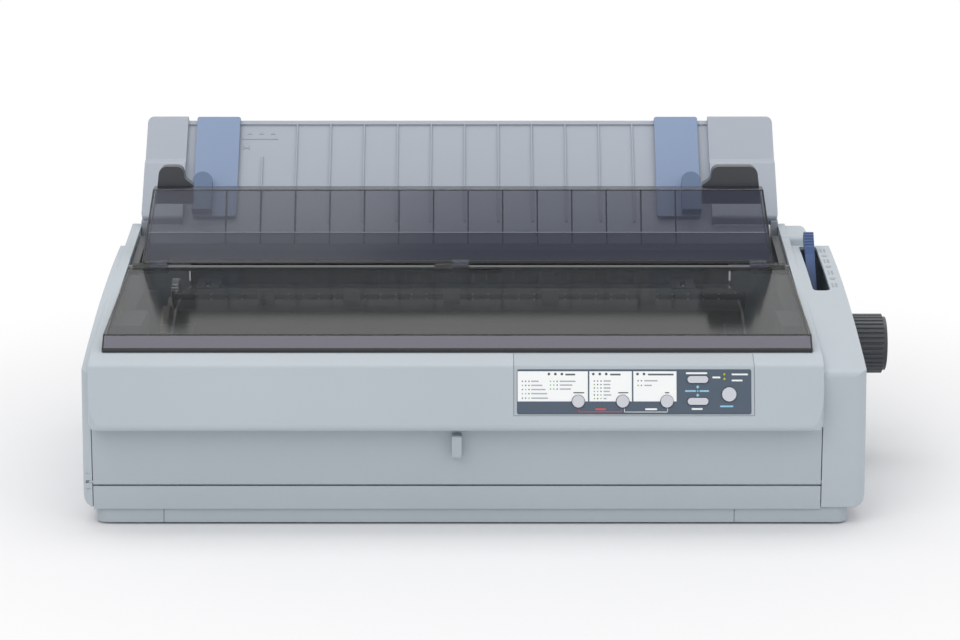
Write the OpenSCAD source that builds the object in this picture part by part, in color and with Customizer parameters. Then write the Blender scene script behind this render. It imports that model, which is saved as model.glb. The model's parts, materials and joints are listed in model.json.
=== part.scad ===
// Wide-carriage dot matrix printer, in millimetres. The origin lies on the desk under the middle of
// the whole product: +X is to the right of someone facing the control panel, +Y to the rear, +Z up.

/* [Casing] */
// Width of the casing without the platen knob
case_w = 600.5; // [590:0.5:612]
// Depth of the casing from its front face to its rear wall
case_d = 331; // [325:0.5:340]
// Wall thickness of the mouldings
wall = 3; // [2.4:0.1:3.4]
// Height of the front edge of the shoulders above the desk
shoulder_h = 120; // [116:0.5:123]
// How much the shoulders rise from that edge to their rear step
shoulder_rise = 44.5; // [41:0.5:46]
// How far the side walls lean in from the desk to the top
side_draft = 2.6; // [1:0.1:4]
// Height of the underside of the casing above the desk
skirt_h = 14; // [12:0.5:15]
// Radius of the upright corners of the casing
corner_r = 12; // [8:0.5:16]
// Width of the left shoulder beside the raised frame
left_shoulder_w = 7.5; // [7:0.1:9]
// Width of the right shoulder beside the raised frame
right_shoulder_w = 35; // [33:0.5:38]
// Width of the raised frame on each side of the well
frame_w = 8; // [7:0.1:8.5]
// How far the chin hangs out in front of the front cover
chin_overhang = 15; // [12:0.5:18]
// Height of the lower edge of the chin above the desk
chin_low = 77.5; // [76:0.5:80]
// Height of the upper edge of the chin above the desk
chin_high = 126; // [124:0.5:128]

/* [Base] */
// Height of the rubber feet below the pan
foot_h = 1.5; // [1:0.1:2.5]
// Radius of a rubber foot
foot_r = 11; // [8:0.5:14]
// How far the pan is set in from the sides of the casing
pan_inset = 9.5; // [8:0.5:12]
// Height of the top edge of the fixed strip under the front cover
strip_h = 30.8; // [28:0.1:32]

/* [Covers] */
// Length of the smoked printer cover from its hinge to its front edge
cover_l = 192; // [188:0.5:192.5]
// Height of the cover's front fold above its front edge
cover_front_h = 10; // [8:0.5:12]
// Wall of the smoked covers
smoke_wall = 2.4; // [2:0.1:3]
// Radius of the hinge rod of the smoked covers
hinge_r = 2.5; // [2:0.1:2.8]
// Length of the upright shield from its lower to its upper edge
shield_l = 64.5; // [56:0.5:66]
// Lean of the shield from the vertical
shield_lean = 29; // [25:0.5:33]
// Depth of the shield's top flange and side returns
shield_return = 12; // [9:0.5:14]
// Number of ribs behind the shield
shield_ribs = 14; // [8:1:18]
// Distance between the ribs behind the shield
shield_rib_pitch = 28.65; // [20:0.05:28.7]

/* [Paper guide] */
// Length of the paper guide up its slope
guide_l = 109; // [100:0.5:115]
// Lean of the paper guide from the vertical
guide_lean = 42.8; // [38:0.2:46]
// Number of long ribs on the paper guide
guide_ribs = 11; // [6:1:12]
// Distance between the ribs on the paper guide
guide_rib_pitch = 29.1; // [20:0.1:30]
// Width of an edge guide
edge_w = 37.5; // [30:0.5:40]

/* [Platen and drive] */
// Length of the platen's rubber roller
platen_l = 436; // [424:1:438]
// Radius of the platen's rubber roller
platen_r = 17; // [15:0.25:17.5]
// Radius of the platen's steel shaft
shaft_r = 6; // [5:0.25:7]
// Radius of the platen knob
knob_r = 24.5; // [22:0.5:27]
// Length of the platen knob
knob_l = 37.5; // [32:0.5:44]
// Tooth size of the drive gears: pitch diameter over number of teeth
gear_module = 1; // [0.96:0.01:1.02]
// Teeth of the platen gear
platen_teeth = 60; // [56:1:60]
// Teeth of the pinion on the feed motor
pinion_teeth = 18; // [17:1:20]
// Teeth of the idler gear
idler_teeth = 34; // [32:1:35]
// Teeth of the gear on the tractor shaft
tractor_teeth = 36; // [34:1:38]
// Radius of the rod that the carriage slides on
rod_r = 6; // [5:0.25:7]
// Width of the print head's carriage
carriage_w = 52; // [44:1:60]
// Radius of the toothed pulleys of the carriage belt
pulley_r = 7.5; // [6.5:0.25:8]
// Width of a tractor
tractor_w = 20; // [16:0.5:22]

/* [Controls] */
// Radius of the round buttons on the left of the panel
button_r = 4.7; // [4:0.1:5.2]
// Radius of the round button at the right end of the panel
pause_r = 5.4; // [4.5:0.1:6]
// Length of the two pill-shaped buttons
pill_l = 15.7; // [13:0.1:17]
// Height of the two pill-shaped buttons
pill_h = 5.3; // [4.5:0.1:6]
// How far a button travels
button_travel = 1; // [0.6:0.1:1.2]
// Width of the lever slot in the right shoulder
slot_w = 14; // [12:0.5:16]
// Thickness of the release lever
lever_w = 8; // [6:0.5:9]

/* [Clearances] */
// Gap between neighbouring mouldings
gap = 0.5; // [0.4:0.05:0.6]
// Radial clearance of a running fit
fit = 0.06; // [0.03:0.01:0.1]
// Gap between parts that must not touch as they move
clear = 0.3; // [0.25:0.05:0.4]

/* [Hidden] */
$fn = 48;

// Colours
shell_grey = "#b8bfc7";
panel_grey = "#adb4bb";
smoke = "#50545a";
guide_grey = "#a3a9b3";
guide_blue = "#8ca0bc";
lever_blue = "#3e5a86";
dark = "#4b4e54";
black = "#26282b";
steel = "#b9bcc0";
board_green = "#2f6b45";
button_grey = "#cfd2d6";

// Across: the knob's end and the left side lie as far from the origin as each other
knob_gap = 1;
x_left = -(case_w + knob_gap + knob_l) / 2;
x_right = x_left + case_w;
frame_left = x_left + left_shoulder_w;
frame_right = x_right - right_shoulder_w;
well_left = frame_left + frame_w;
well_right = frame_right - frame_w + 1.8;
path_mid = (well_left + well_right) / 2;

// Along: the chin's lower edge and the paper guide's top lie as far from the origin as each other
guide_back = 4;
guide_front = 4.4;
guide_foot_in = 21;
guide_reach = guide_l * sin(guide_lean) + guide_back * cos(guide_lean);
y_front = -(chin_overhang + case_d - guide_foot_in + guide_reach) / 2 + chin_overhang;
y_rear = y_front + case_d;
y_chin = y_front - chin_overhang;
guide_y = y_rear - guide_foot_in;
guide_z = 173;

// Raised frame: its top rises from the cover's front edge to the rear corner
frame_front = [y_front + 15, chin_high + 5.5];
frame_back = [y_rear - 14, chin_high + 47.5];
step_y = y_front + 273;
step_z = shoulder_h + shoulder_rise;

// Hinge rod of the smoked covers
hinge_y = frame_front[0] + 193;
hinge_z = frame_front[1] + 25.5;

// Platen axis, and the ends of its roller
platen_y = hinge_y - 2;
platen_z = 94;
roller_left = path_mid - platen_l / 2;
roller_right = path_mid + platen_l / 2;

// Steel side frames stand just outside the roller
sheet = 2;
frame_gap = 12;
plate_left = roller_left - frame_gap;
plate_right = roller_right + frame_gap;

// Drive gears lie in one plane outside the left side frame
gear_face = 6;
gear_x = plate_left - sheet - 12;
gear_play = 0.12;
platen_pitch = platen_teeth * gear_module / 2;
pinion_pitch = pinion_teeth * gear_module / 2;
idler_pitch = idler_teeth * gear_module / 2;
tractor_pitch = tractor_teeth * gear_module / 2;
train_angle = 12.7;
pinion_angle = -60;
pinion_at = polar([platen_y, platen_z], platen_pitch + pinion_pitch + gear_play, pinion_angle);
idler_at = polar([platen_y, platen_z], platen_pitch + idler_pitch + gear_play, train_angle);
drive_at = polar(idler_at, idler_pitch + tractor_pitch + gear_play, train_angle);
pinion_phase = mesh_phase(0, pinion_angle, platen_teeth, pinion_teeth);
idler_phase = mesh_phase(0, train_angle, platen_teeth, idler_teeth);
drive_phase = mesh_phase(idler_phase, train_angle, idler_teeth, tractor_teeth);

// Carriage and ribbon
rod_at = [platen_y - 65, platen_z - 22];
carriage_mid = path_mid;
deck_z = platen_z - 14;
ribbon_y = platen_y - platen_r - 2;
cartridge_z = platen_z - 9.5;
cartridge_front = y_front + 36;
cartridge_rear = rod_at[0] - 60;
arm_left = plate_left + 24;
arm_right = plate_right - 24;
belt_y = rod_at[0] - 33;
belt_z = rod_at[1] - 8;
belt_h = 6;
belt_t = 1.2;
pulley_left = plate_left + 23;
pulley_right = plate_right - 23;

// Bail and output deck
bail_pivot = [platen_y + 28, platen_z + 18];
bail_bar = [platen_y - 2, platen_z + 40];
bail_roller_r = 6;

// Tractors
square_side = 6;
rail_at = [drive_at[0] + 19, drive_at[1]];
tractor_top = drive_at[1] + 12;
sprocket_r = 10.5;
tractor_left_x = plate_left + 6;
tractor_right_x = plate_right - 30 - tractor_w;

// Chin face: its own frame runs up the face from the lower edge, with depth into the chin
chin_a = [y_chin - 1.4, chin_low];
chin_b = [y_chin + chin_overhang - 1, chin_high];
chin_lean = atan((chin_b[0] - chin_a[0]) / (chin_b[1] - chin_a[1]));
chin_foot = chin_a + 2.1 * [tan(chin_lean), 1];
panel_left = 11;
panel_right = 193;
panel_low = 10.7;
overlay_t = 0.8;
board_depth = 10;
button_gap = 0.35;
row_low = 21.5;
row_high = 38.1;

// Lever
lever_x = frame_right + 14;
lever_at = [platen_y - 1, platen_z + 24];
lever_tip = [52.5, 58];

// Front cover: its mouth in the casing and its pivot
mouth_left = frame_left + 0.7;
mouth_right = frame_right + 0.6;
panel_gap = 0.7;
panel_t = 2.5;
cover_pivot = [y_front + 1.7, strip_h + 3.2];
cover_pin_r = 1.2;

// Paper guide pivot
guide_pivot = [guide_y + 2, guide_z - 10];
guide_pin_r = 2.5;
guide_side = gap;

// Pan and screws
pan_bottom = foot_h;
pan_floor = pan_bottom + wall;
boss_top = pan_floor + 16;
screw_r = 1.5;
tube_top = step_z - 52;
screw_spots = [[mouth_left + 14, y_front + 11], [mouth_right - 13, y_front + 11],
    [x_left + 22, y_rear - 10], [x_right - 24, y_rear - 10]];
foot_h_frame = 30;
stub_r = 3;

// Points on an arc from a to b that bows out by s on the left of the way, ends left out
function bow(a, b, s, n) = let (c = norm(b - a), r = (c * c / 4 + s * s) / (2 * s), u = (b - a) / c,
    v = [-u[1], u[0]], o = (a + b) / 2 - v * (r - s), t = asin(c / 2 / r))
    [for (i = [1 : n - 1]) let (q = -t + 2 * t * i / n) o + r * (v * cos(q) + u * sin(q))];

// Point at a distance and an angle from c
function polar(c, d, a) = [c[0] + d * cos(a), c[1] + d * sin(a)];

// Points of the arc of radius r that rounds the corner p between a and b
function fillet(a, p, b, r, n) = let (u = (a - p) / norm(a - p), v = (b - p) / norm(b - p),
    h = acos(max(-1, min(1, u * v))) / 2, c = p + (u + v) / norm(u + v) * r / sin(h),
    s = p + u * r / tan(h) - c, e = p + v * r / tan(h) - c, t = 180 - 2 * h)
    [for (k = [0 : n]) c + (s * sin(t * (1 - k / n)) + e * sin(t * k / n)) / sin(t)];

// Closed outline through corners [x, y] or [x, y, radius]
function flat(p) = [p[0], p[1]];
function outline(c) = [for (i = [0 : len(c) - 1]) let (p = c[i], n = len(c))
    each (len(p) > 2 && p[2] > 0
        ? fillet(flat(c[(i + n - 1) % n]), flat(p), flat(c[(i + 1) % n]), p[2], p[2] > 4 ? 7 : 4)
        : [flat(p)])];

// Rectangle with rounded corners, between two opposite corners
function frame_points(lo, hi, r) = outline([[lo[0], lo[1], r], [hi[0], lo[1], r],
    [hi[0], hi[1], r], [lo[0], hi[1], r]]);

// Involute tooth: the point at radius r on one flank, as an angle from the tooth's middle
function roll(r, base) = let (q = sqrt(max(0, r * r / base / base - 1))) q * 180 / PI - atan(q);
function gear_points(teeth, m, phase) = let (pitch = teeth * m / 2, base = pitch * cos(20),
    root = pitch - 1.2 * m, tip = pitch + 0.95 * m, half = 90 / teeth * 0.95 + roll(pitch, base),
    low = max(base, root), radii = [low, low + (tip - low) * 0.35, low + (tip - low) * 0.7, tip])
    [for (i = [0 : teeth - 1]) let (a = phase + i * 360 / teeth) each concat(
        [polar([0, 0], root, a - half)],
        [for (r = radii) polar([0, 0], r, a - half + roll(r, base))],
        [for (k = [3 : -1 : 0]) polar([0, 0], radii[k], a + half - roll(radii[k], base))],
        [polar([0, 0], root, a + half)])];

// Turn of gear b that puts its teeth in the gaps of gear a, when a's teeth are turned by phase
function mesh_phase(phase, way, teeth_a, teeth_b) =
    way + 180 + ((way - phase) * teeth_a / 360 + 0.5) * 360 / teeth_b;

// Extrusions of an outline drawn as [Y, Z], [X, Z] or [X, Y]
module along_x(a, b) translate([a, 0, 0]) rotate([90, 0, 90]) linear_extrude(b - a) children();
module along_y(a, b) translate([0, b, 0]) rotate([90, 0, 0]) linear_extrude(b - a) children();
module along_z(a, b) translate([0, 0, a]) linear_extrude(b - a) children();
module block(lo, hi) translate(lo) cube(hi - lo);
module rod_x(a, b, at, r) translate([a, at[0], at[1]]) rotate([0, 90, 0]) cylinder(r = r, h = b - a);
module rod_y(a, b, at, r) translate([at[0], a, at[1]]) rotate([-90, 0, 0]) cylinder(r = r, h = b - a);
module rod_z(a, b, at, r) translate([at[0], at[1], a]) cylinder(r = r, h = b - a);

// Local frames of the chin's face and of the paper guide's face
module on_chin() translate([0, chin_foot[0], chin_foot[1]]) rotate([-chin_lean, 0, 0]) children();
module on_guide() translate([0, guide_y, guide_z]) rotate([-guide_lean, 0, 0]) children();
module on_shield() translate([0, hinge_y + 3.5, hinge_z + 3.5]) rotate([-shield_lean, 0, 0]) children();

// Outlines of the casing, each drawn in by t
function shoulder_side(t) = let (a = [y_front + t, shoulder_h - t], b = [step_y - t, step_z - t])
    outline(concat([[y_front + t, skirt_h + t], [a[0], a[1], 6 - t / 2]], bow(a, b, 7.7, 12),
    [[b[0], b[1], 12 - t], [step_y + 16 - t, step_z - 42 - t, 8 + t], [y_rear - t, step_z - 50 - t, 10 - t],
    [y_rear - t, skirt_h + t]]));
function front_view(t) = let (top = step_z + 30, lean = side_draft * (top - skirt_h) / (step_z - skirt_h))
    outline([[x_left + t, skirt_h + t, 9 - t], [x_right - t, skirt_h + t, 9 - t],
    [x_right - t - lean, top], [x_left + t + lean, top]]);
function case_plan(t) = frame_points([x_left + t, y_front + t], [x_right - t, y_rear - t], corner_r - t);
function centre_side(t) = let (strip = [frame_front[0] + t / 2, frame_front[1] - t],
    back = [frame_back[0] - t, frame_back[1] - t])
    outline(concat([[y_front + 24, chin_low + t], [chin_a[0] + t, chin_a[1] + t, 4 - t / 2],
    [chin_b[0] + t, chin_b[1] - t, 4], strip], bow(strip, back, 1.7, 6),
    [[back[0], back[1], 6 - t], [y_rear - t, hinge_z + 2], [y_rear - t, chin_low + t]]));

module case_block(t) intersection() {
    along_x(x_left - 1, x_right + 1) polygon(shoulder_side(t));
    along_y(y_front - 1, y_rear + 1) polygon(front_view(t));
    along_z(0, 200) polygon(case_plan(t));
}
module centre_block(t) intersection() {
    along_x(frame_left + t, frame_right - t) polygon(centre_side(t));
    along_y(y_chin - 1, y_rear + 1) polygon(frame_points([frame_left + t, chin_low + t],
        [frame_right - t, 220], 7 - t));
    along_z(0, 220) polygon(frame_points([frame_left + t, y_chin + t], [frame_right - t, y_rear - t],
        9 - t));
}
module right_block(t) intersection() {
    along_x(frame_right - 12, frame_right + 20 - t) polygon(outline([[step_y - 4 + t, 140],
        [step_y + 3 + t, frame_back[1] - 4 - t, 5], [y_rear - 4 - t, frame_back[1] - 3 - t, 8 - t],
        [y_rear - 1 - t, 118]]));
    along_y(y_front, y_rear) polygon(outline([[frame_right - 12, 118], [frame_right + 20 - t, 118],
        [frame_right + 20 - t, frame_back[1] - 3 - t, 9 - t], [frame_right - 12, frame_back[1] - 3 - t]]));
}
module panel_cut(g) {
    block([panel_left - g, y_chin - 5, chin_foot[1] + panel_low * cos(chin_lean) - g],
        [panel_right + g, frame_front[0] + 0.2, frame_front[1] + 5]);
}
module upper_case() color(shell_grey) {
    difference() {
        union() {
            difference() {
                union() {
                    case_block(0);
                    centre_block(0);
                    right_block(0);
                }
                case_block(wall);
                centre_block(wall);
                right_block(wall);
            }
            // walls of the well, hanging from the raised frame, and the floor of the chin
            along_x(well_left - wall, well_left) polygon(well_wall());
            along_x(well_right, well_right + wall) polygon(well_wall());
            block([frame_left + 1, frame_front[0] + 1, chin_low], [frame_right - 1, frame_front[0] + 4,
                frame_front[1] - 1]);
            block([frame_left + 1, y_front + 1, chin_low], [frame_right - 1, frame_front[0] + 4,
                chin_low + wall]);
            // bar over the rear paper entry
            block([well_left - 1, y_rear - 12, hinge_z - 8], [well_right + 1, y_rear - 1, hinge_z]);
            // bosses for the pins of the front cover
            for (x = [mouth_left - 6, mouth_right])
                block([x, y_front + 1, strip_h - 2], [x + 6, y_front + 8, strip_h + 9]);
            // tubes for the casing screws, down to the bosses of the pan
            for (p = screw_spots) rod_z(boss_top, p[1] < y_front + 50 ? chin_low + 1 : tube_top, p, 5);
            for (p = screw_spots) if (p[1] > 0)
                block([p[0] - 1, p[1], boss_top + 8], [p[0] + 1, y_rear - 1, tube_top - 2]);
            // stub that the release lever turns on
            rod_x(well_right + 1, lever_x + lever_w / 2 + 3, lever_at, stub_r);
        }
        // mouth of the well, open to the rear
        block([well_left, frame_front[0] + 4, platen_z + 10], [well_right, y_rear - 12, 220]);
        block([well_left, y_rear - 13, hinge_z], [well_right, y_rear + 1, 220]);
        // rear paper entry
        block([plate_left - 4, y_rear - 4, platen_z + 26], [plate_right + 4, y_rear + 1, platen_z + 37]);
        // opening for the front cover and the strip below it
        block([mouth_left, y_front - 1, skirt_h - 1], [mouth_right, y_front + wall + 0.1, chin_low]);
        // room for the lower edge of the front cover to swing
        rod_x(mouth_left, mouth_right, cover_pivot, cover_pin_r + 2);
        // hole in the underside for the pan
        along_z(skirt_h - 1, skirt_h + wall + 1) polygon(pan_plan(-gap));
        panel_cut(0.25);
        lever_slot();
        // knob shaft, hinge rod, guide pivots and front cover pins
        rod_x(frame_right, x_right + 1, [platen_y, platen_z], shaft_r + 2);
        rod_x(frame_left - 0.5, frame_right, [hinge_y, hinge_z], hinge_r + fit);
        rod_x(frame_left + 2, frame_right - 2, guide_pivot, guide_pin_r + fit);
        rod_x(mouth_left - 5, mouth_right + 5, cover_pivot, cover_pin_r + fit);
        for (p = screw_spots) rod_z(0, chin_low - 2, p, screw_r + 0.2);
        rear_cuts();
        // cooling slots low in the rear wall
        for (i = [0 : 13]) block([x_left + 60 + i * 9, y_rear - 5, 26], [x_left + 64 + i * 9, y_rear + 1,
            48]);
    }
    // ledge along the front of the well, and the blocks at its two ends
    block([well_left + 4, frame_front[0] + 2, frame_front[1] - 3], [well_right - 4, frame_front[0] + 24,
        frame_front[1] - 0.3]);
    block([well_left - 1, rod_at[0] - 35, platen_z + 6], [well_left + 21, rod_at[0] + 20, platen_z + 38]);
    block([well_right - 16, rod_at[0] - 35, platen_z + 6], [well_right + 1, rod_at[0] + 20, platen_z + 38]);
}
function well_wall() = [[frame_front[0] + 1, platen_z + 20], [y_rear - 1, platen_z + 20],
    [y_rear - 1, hinge_z], [frame_back[0] - 1, frame_back[1] - 1], [frame_front[0] + 1,
        frame_front[1] - 1]];
function pan_plan(t) = frame_points([x_left + pan_inset + t, y_front + 2 + t],
    [x_right - pan_inset - 3.5 - t, y_rear - 5 - t], 10 - t);

module lever_slot() along_z(lever_at[1] + 12, 200) polygon(frame_points(
    [lever_x - slot_w / 2, step_y - 126], [lever_x + slot_w / 2, step_y - 10], 4));
module rear_cuts() {
    block([parallel_x, y_rear - wall - 1, parallel_z], [parallel_x + 58, y_rear + 1, parallel_z + 19]);
    block([usb_x, y_rear - wall - 1, usb_z], [usb_x + 16, y_rear + 1, usb_z + 14]);
    block([inlet_x, y_rear - wall - 1, inlet_z], [inlet_x + 29, y_rear + 1, inlet_z + 22]);
    block([switch_x, y_rear - wall - 1, inlet_z], [switch_x + 14, y_rear + 1, inlet_z + 21]);
}
parallel_x = path_mid + 100;
parallel_z = 34;
usb_x = path_mid + 66;
usb_z = 36;
inlet_x = path_mid - 200;
inlet_z = 34;
switch_x = path_mid - 160;

module base_tray() color(shell_grey) difference() {
    union() {
        difference() {
            along_z(pan_bottom, skirt_h + wall) polygon(pan_plan(0));
            along_z(pan_floor, skirt_h + wall + 1) polygon(pan_plan(wall));
        }
        // fixed strip under the front cover
        block([mouth_left + panel_gap, y_front, skirt_h - 1.4],
            [mouth_right - panel_gap, y_front + panel_t, strip_h]);
        for (p = screw_spots) rod_z(pan_floor - 1, boss_top - clear, p, 5);
        for (p = frame_feet) rod_z(pan_floor - 1, foot_h_frame, p, 5);
        for (p = board_posts) rod_z(pan_floor - 1, board_z, p, 3.5);
        rod_z(pan_floor - 1, motor_foot, carriage_motor_at, 12);
        // stiffening ribs of the floor
        for (i = [0 : 3]) block([x_left + 110 + i * 110, y_front + 4, pan_floor - 0.5],
            [x_left + 112 + i * 110, y_front + 60, pan_floor + 5]);
    }
    for (p = feet) rod_z(pan_bottom - 1, pan_bottom + 1, p, foot_r + 0.15);
    for (p = screw_spots) {
        rod_z(-1, boss_top + 1, p, screw_r + 0.2);
        rod_z(-1, pan_bottom + 2.5, p, 3.4);
    }
    // parting lines of the corner blocks
    for (x = [x_left + 62, x_right - 101])
        block([x, y_front + 1, pan_bottom - 1], [x + 0.7, y_front + 2.7, skirt_h - 1.4]);
    // cooling slots in the floor
    for (i = [0 : 11]) block([x_left + 150 + i * 12, y_rear - 90, 0], [x_left + 155 + i * 12, y_rear - 40,
        20]);
}
feet = [[x_left + 45, y_front + 30], [x_right - 50, y_front + 30], [x_left + 45, y_rear - 35],
    [x_right - 50, y_rear - 35]];
frame_feet = [[plate_left + 8, y_front + 56], [plate_right - 8, y_front + 56],
    [plate_left + 8, y_rear - 55], [plate_right - 8, y_rear - 55]];
board_z = 12;
board_lo = [path_mid - 10, y_front + 66];
board_hi = [path_mid + 205, y_rear - 70];
board_posts = [[board_lo[0] + 8, board_lo[1] + 8], [board_hi[0] - 8, board_lo[1] + 8],
    [board_lo[0] + 8, board_hi[1] - 8], [board_hi[0] - 8, board_hi[1] - 8]];
motor_r = 19;
motor_foot = 18;
carriage_motor_at = [pulley_left, belt_y];

module rubber_feet() color(dark) for (p = feet) rod_z(0, pan_bottom + 0.9, p, foot_r);

module case_screws() color(steel) for (p = screw_spots) {
    rod_z(pan_bottom + 0.3, pan_bottom + 2.3, p, 3);
    rod_z(pan_bottom + 2, boss_top + 14, p, screw_r);
}

// Control panel
function controls() = [[59.7, row_low + 0, button_r], [93.3, row_low, button_r], [126.8, row_low, button_r],
    [150.2, row_high, 0], [150.3, row_low, 0], [173.9, 26.8, pause_r]];
module button_outline(b, grow) translate([b[0], b[1]])
    if (b[2] > 0) circle(r = b[2] + grow);
    else union() {
        square([pill_l - pill_h, pill_h + 2 * grow], center = true);
        for (s = [-1, 1]) translate([s * (pill_l - pill_h) / 2, 0]) circle(r = pill_h / 2 + grow);
    }
module control_bezel() color(panel_grey) {
    difference() {
        intersection() {
            difference() {
                centre_block(0);
                centre_block(wall);
            }
            block([panel_left, y_chin - 5, chin_foot[1] + panel_low * cos(chin_lean)],
                [panel_right, frame_front[0], frame_front[1] + 5]);
        }
        on_chin() {
            along_y(-1, overlay_t + 0.1) polygon(frame_points([panel_left + 2.3, panel_low + 1],
                [panel_right - 2.3, 45.8], 1.5));
            for (b = controls()) along_y(-1, 6) button_outline(b, button_gap);
            for (x = lamp_spots) rod_y(-1, 6, x, 1.3);
        }
    }
    on_chin() for (x = [panel_left + 12, panel_right - 8], z = [14.5, 41])
        rod_y(wall / 2, board_depth, [x, z], 2.2);
}
module panel_overlay() color("#4b5868") on_chin() difference() {
    along_y(0.05, overlay_t) polygon(frame_points([panel_left + 2.5, panel_low + 1.2],
        [panel_right - 2.5, 45.6], 1.5));
    for (b = controls()) along_y(-1, 2) button_outline(b, button_gap);
    for (x = lamp_spots) rod_y(-1, 2, x, 1.2);
}
lamp_spots = [[37.5, 42.3], [42.4, 42.3], [47.3, 42.3], [71.1, 42.3], [76, 42.3], [80.9, 42.3],
    [104.6, 42.3], [109.5, 42.3], [170.4, 42], [170.4, 38.6]];
module control_board() color(board_green) on_chin() {
    block([panel_left + 6, board_depth, 11], [panel_right - 4, board_depth + 1.6, 44.5]);
    for (b = controls()) block([b[0] - 3, board_depth - 2.7, b[1] - 3], [b[0] + 3, board_depth, b[1] + 3]);
    for (x = lamp_spots) rod_y(wall - 1.5, board_depth, x, 0.9);
}
module button(i) color(button_grey) on_chin() {
    b = controls()[i];
    flange = wall + clear + 0.4;
    along_y(-1.4, flange + 0.2) button_outline(b, 0);
    along_y(flange, flange + 1) button_outline(b, 1.6);
    rod_y(flange, board_depth - 2.7 - button_travel - clear, [b[0], b[1]], 1.8);
}

// Mechanism
module plate_outline() polygon(outline([[cartridge_front - 2, foot_h_frame], [cartridge_front - 2,
    cartridge_z - 0.3, 3],
    [cartridge_rear + 6, cartridge_z - 0.3], [rod_at[0] - 14, platen_z + 18, 8], [platen_y - 24,
        platen_z + 34, 8],
    [platen_y + 44, platen_z + 34, 8], [drive_at[0] - 16, drive_at[1] + 8, 5], [rail_at[0] + 8,
        drive_at[1] + 8, 5],
    [rail_at[0] + 8, foot_h_frame + 26, 5], [y_rear - 45, foot_h_frame], [y_rear - 66, foot_h_frame],
    [platen_y - 6, foot_h_frame + 12, 10], [cartridge_front + 40, foot_h_frame + 12, 10],
    [cartridge_front + 28, foot_h_frame]]));
module plate_holes(a, b) {
    rod_x(a, b, [platen_y, platen_z], 9.03);
    rod_x(a, b, rod_at, rod_r + 0.03);
    rod_x(a, b, drive_at, square_side / 2 + fit);
    rod_x(a, b, rail_at, 4.03);
}
module side_frame_left() color(steel) {
    difference() {
        union() {
            along_x(plate_left - sheet, plate_left) plate_outline();
            for (y = [cartridge_front - 2, y_rear - 66]) block([plate_left - 0.5, y, foot_h_frame],
                [plate_left + 14, y + 21, foot_h_frame + sheet]);
        }
        plate_holes(plate_left - 5, plate_left + 5);
        rod_x(plate_left - 5, plate_left + 5, pinion_at, 3.2);
    }
    // stub axle of the idler gear
    rod_x(gear_x - 1.5, plate_left - sheet + 0.5, idler_at, stub_r);
    rod_x(gear_x + gear_face + clear, plate_left - sheet + 0.5, idler_at, 5);
    rod_x(plate_left - sheet - 4.5, plate_left, bail_pivot, stub_r);
}
module side_frame_right() color(steel) {
    difference() {
        union() {
            along_x(plate_right, plate_right + sheet) plate_outline();
            for (y = [cartridge_front - 2, y_rear - 66]) block([plate_right - 14, y, foot_h_frame],
                [plate_right + 0.5, y + 21, foot_h_frame + sheet]);
        }
        plate_holes(plate_right - 5, plate_right + 5);
    }
    rod_x(plate_right, plate_right + sheet + 4.5, bail_pivot, stub_r);
}
module carriage_rod() color(steel) rod_x(plate_left - sheet - 4, plate_right + sheet + 4, rod_at, rod_r);
module tractor_rail() color(steel) rod_x(plate_left - sheet - 2, plate_right + sheet + 2, rail_at, 4);
module carriage_rail() color(steel) along_x(plate_left, plate_right) polygon([
    [cartridge_rear - 2, rod_at[1] - 8], [cartridge_rear - 0.5, rod_at[1] - 8], [cartridge_rear - 0.5,
        rod_at[1] + 2],
    [cartridge_rear + 14, rod_at[1] + 2], [cartridge_rear + 14, rod_at[1] + 3.5], [cartridge_rear - 2,
        rod_at[1] + 3.5]]);
module hinge_rod() color(dark) rod_x(frame_left + 5.5, frame_right - 4.5, [hinge_y, hinge_z], hinge_r);
module platen_bushes() color("#d8d8d4") for (x = [plate_left - sheet - 1.2, plate_right - 1.2])
    difference() {
    union() {
        rod_x(x, x + sheet + 2.4, [platen_y, platen_z], 9);
        if (x < 0) rod_x(plate_left, plate_left + 1.2, [platen_y, platen_z], 11.5);
        else rod_x(plate_right - 1.2, plate_right, [platen_y, platen_z], 11.5);
    }
    rod_x(x - 1, x + sheet + 4, [platen_y, platen_z], shaft_r + fit);
}
module front_chute() color(panel_grey) difference() {
    union() {
        along_x(plate_left, plate_right) polygon([[y_front + 12, 60], [rod_at[0] - 24, 55],
            [rod_at[0] + 8, 57],
            [platen_y - 28, 70], [platen_y - 28, 72], [rod_at[0] + 7, 59], [rod_at[0] - 24, 57],
                [y_front + 12, 62]]);
        for (i = [0 : 12]) along_x(path_mid - 186 + i * 31, path_mid - 184.5 + i * 31) polygon([
            [y_front + 12, 60], [rod_at[0] - 24, 55], [rod_at[0] - 24, 58.5], [y_front + 12, 64]]);
    }
    block([plate_left + 2, belt_y - motor_r - 3, 50], [pulley_left + motor_r + 3, belt_y + motor_r + 3,
        75]);
    block([pulley_right - 12, belt_y - 12, 50], [pulley_right + 12, belt_y + 12, 75]);
}
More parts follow.
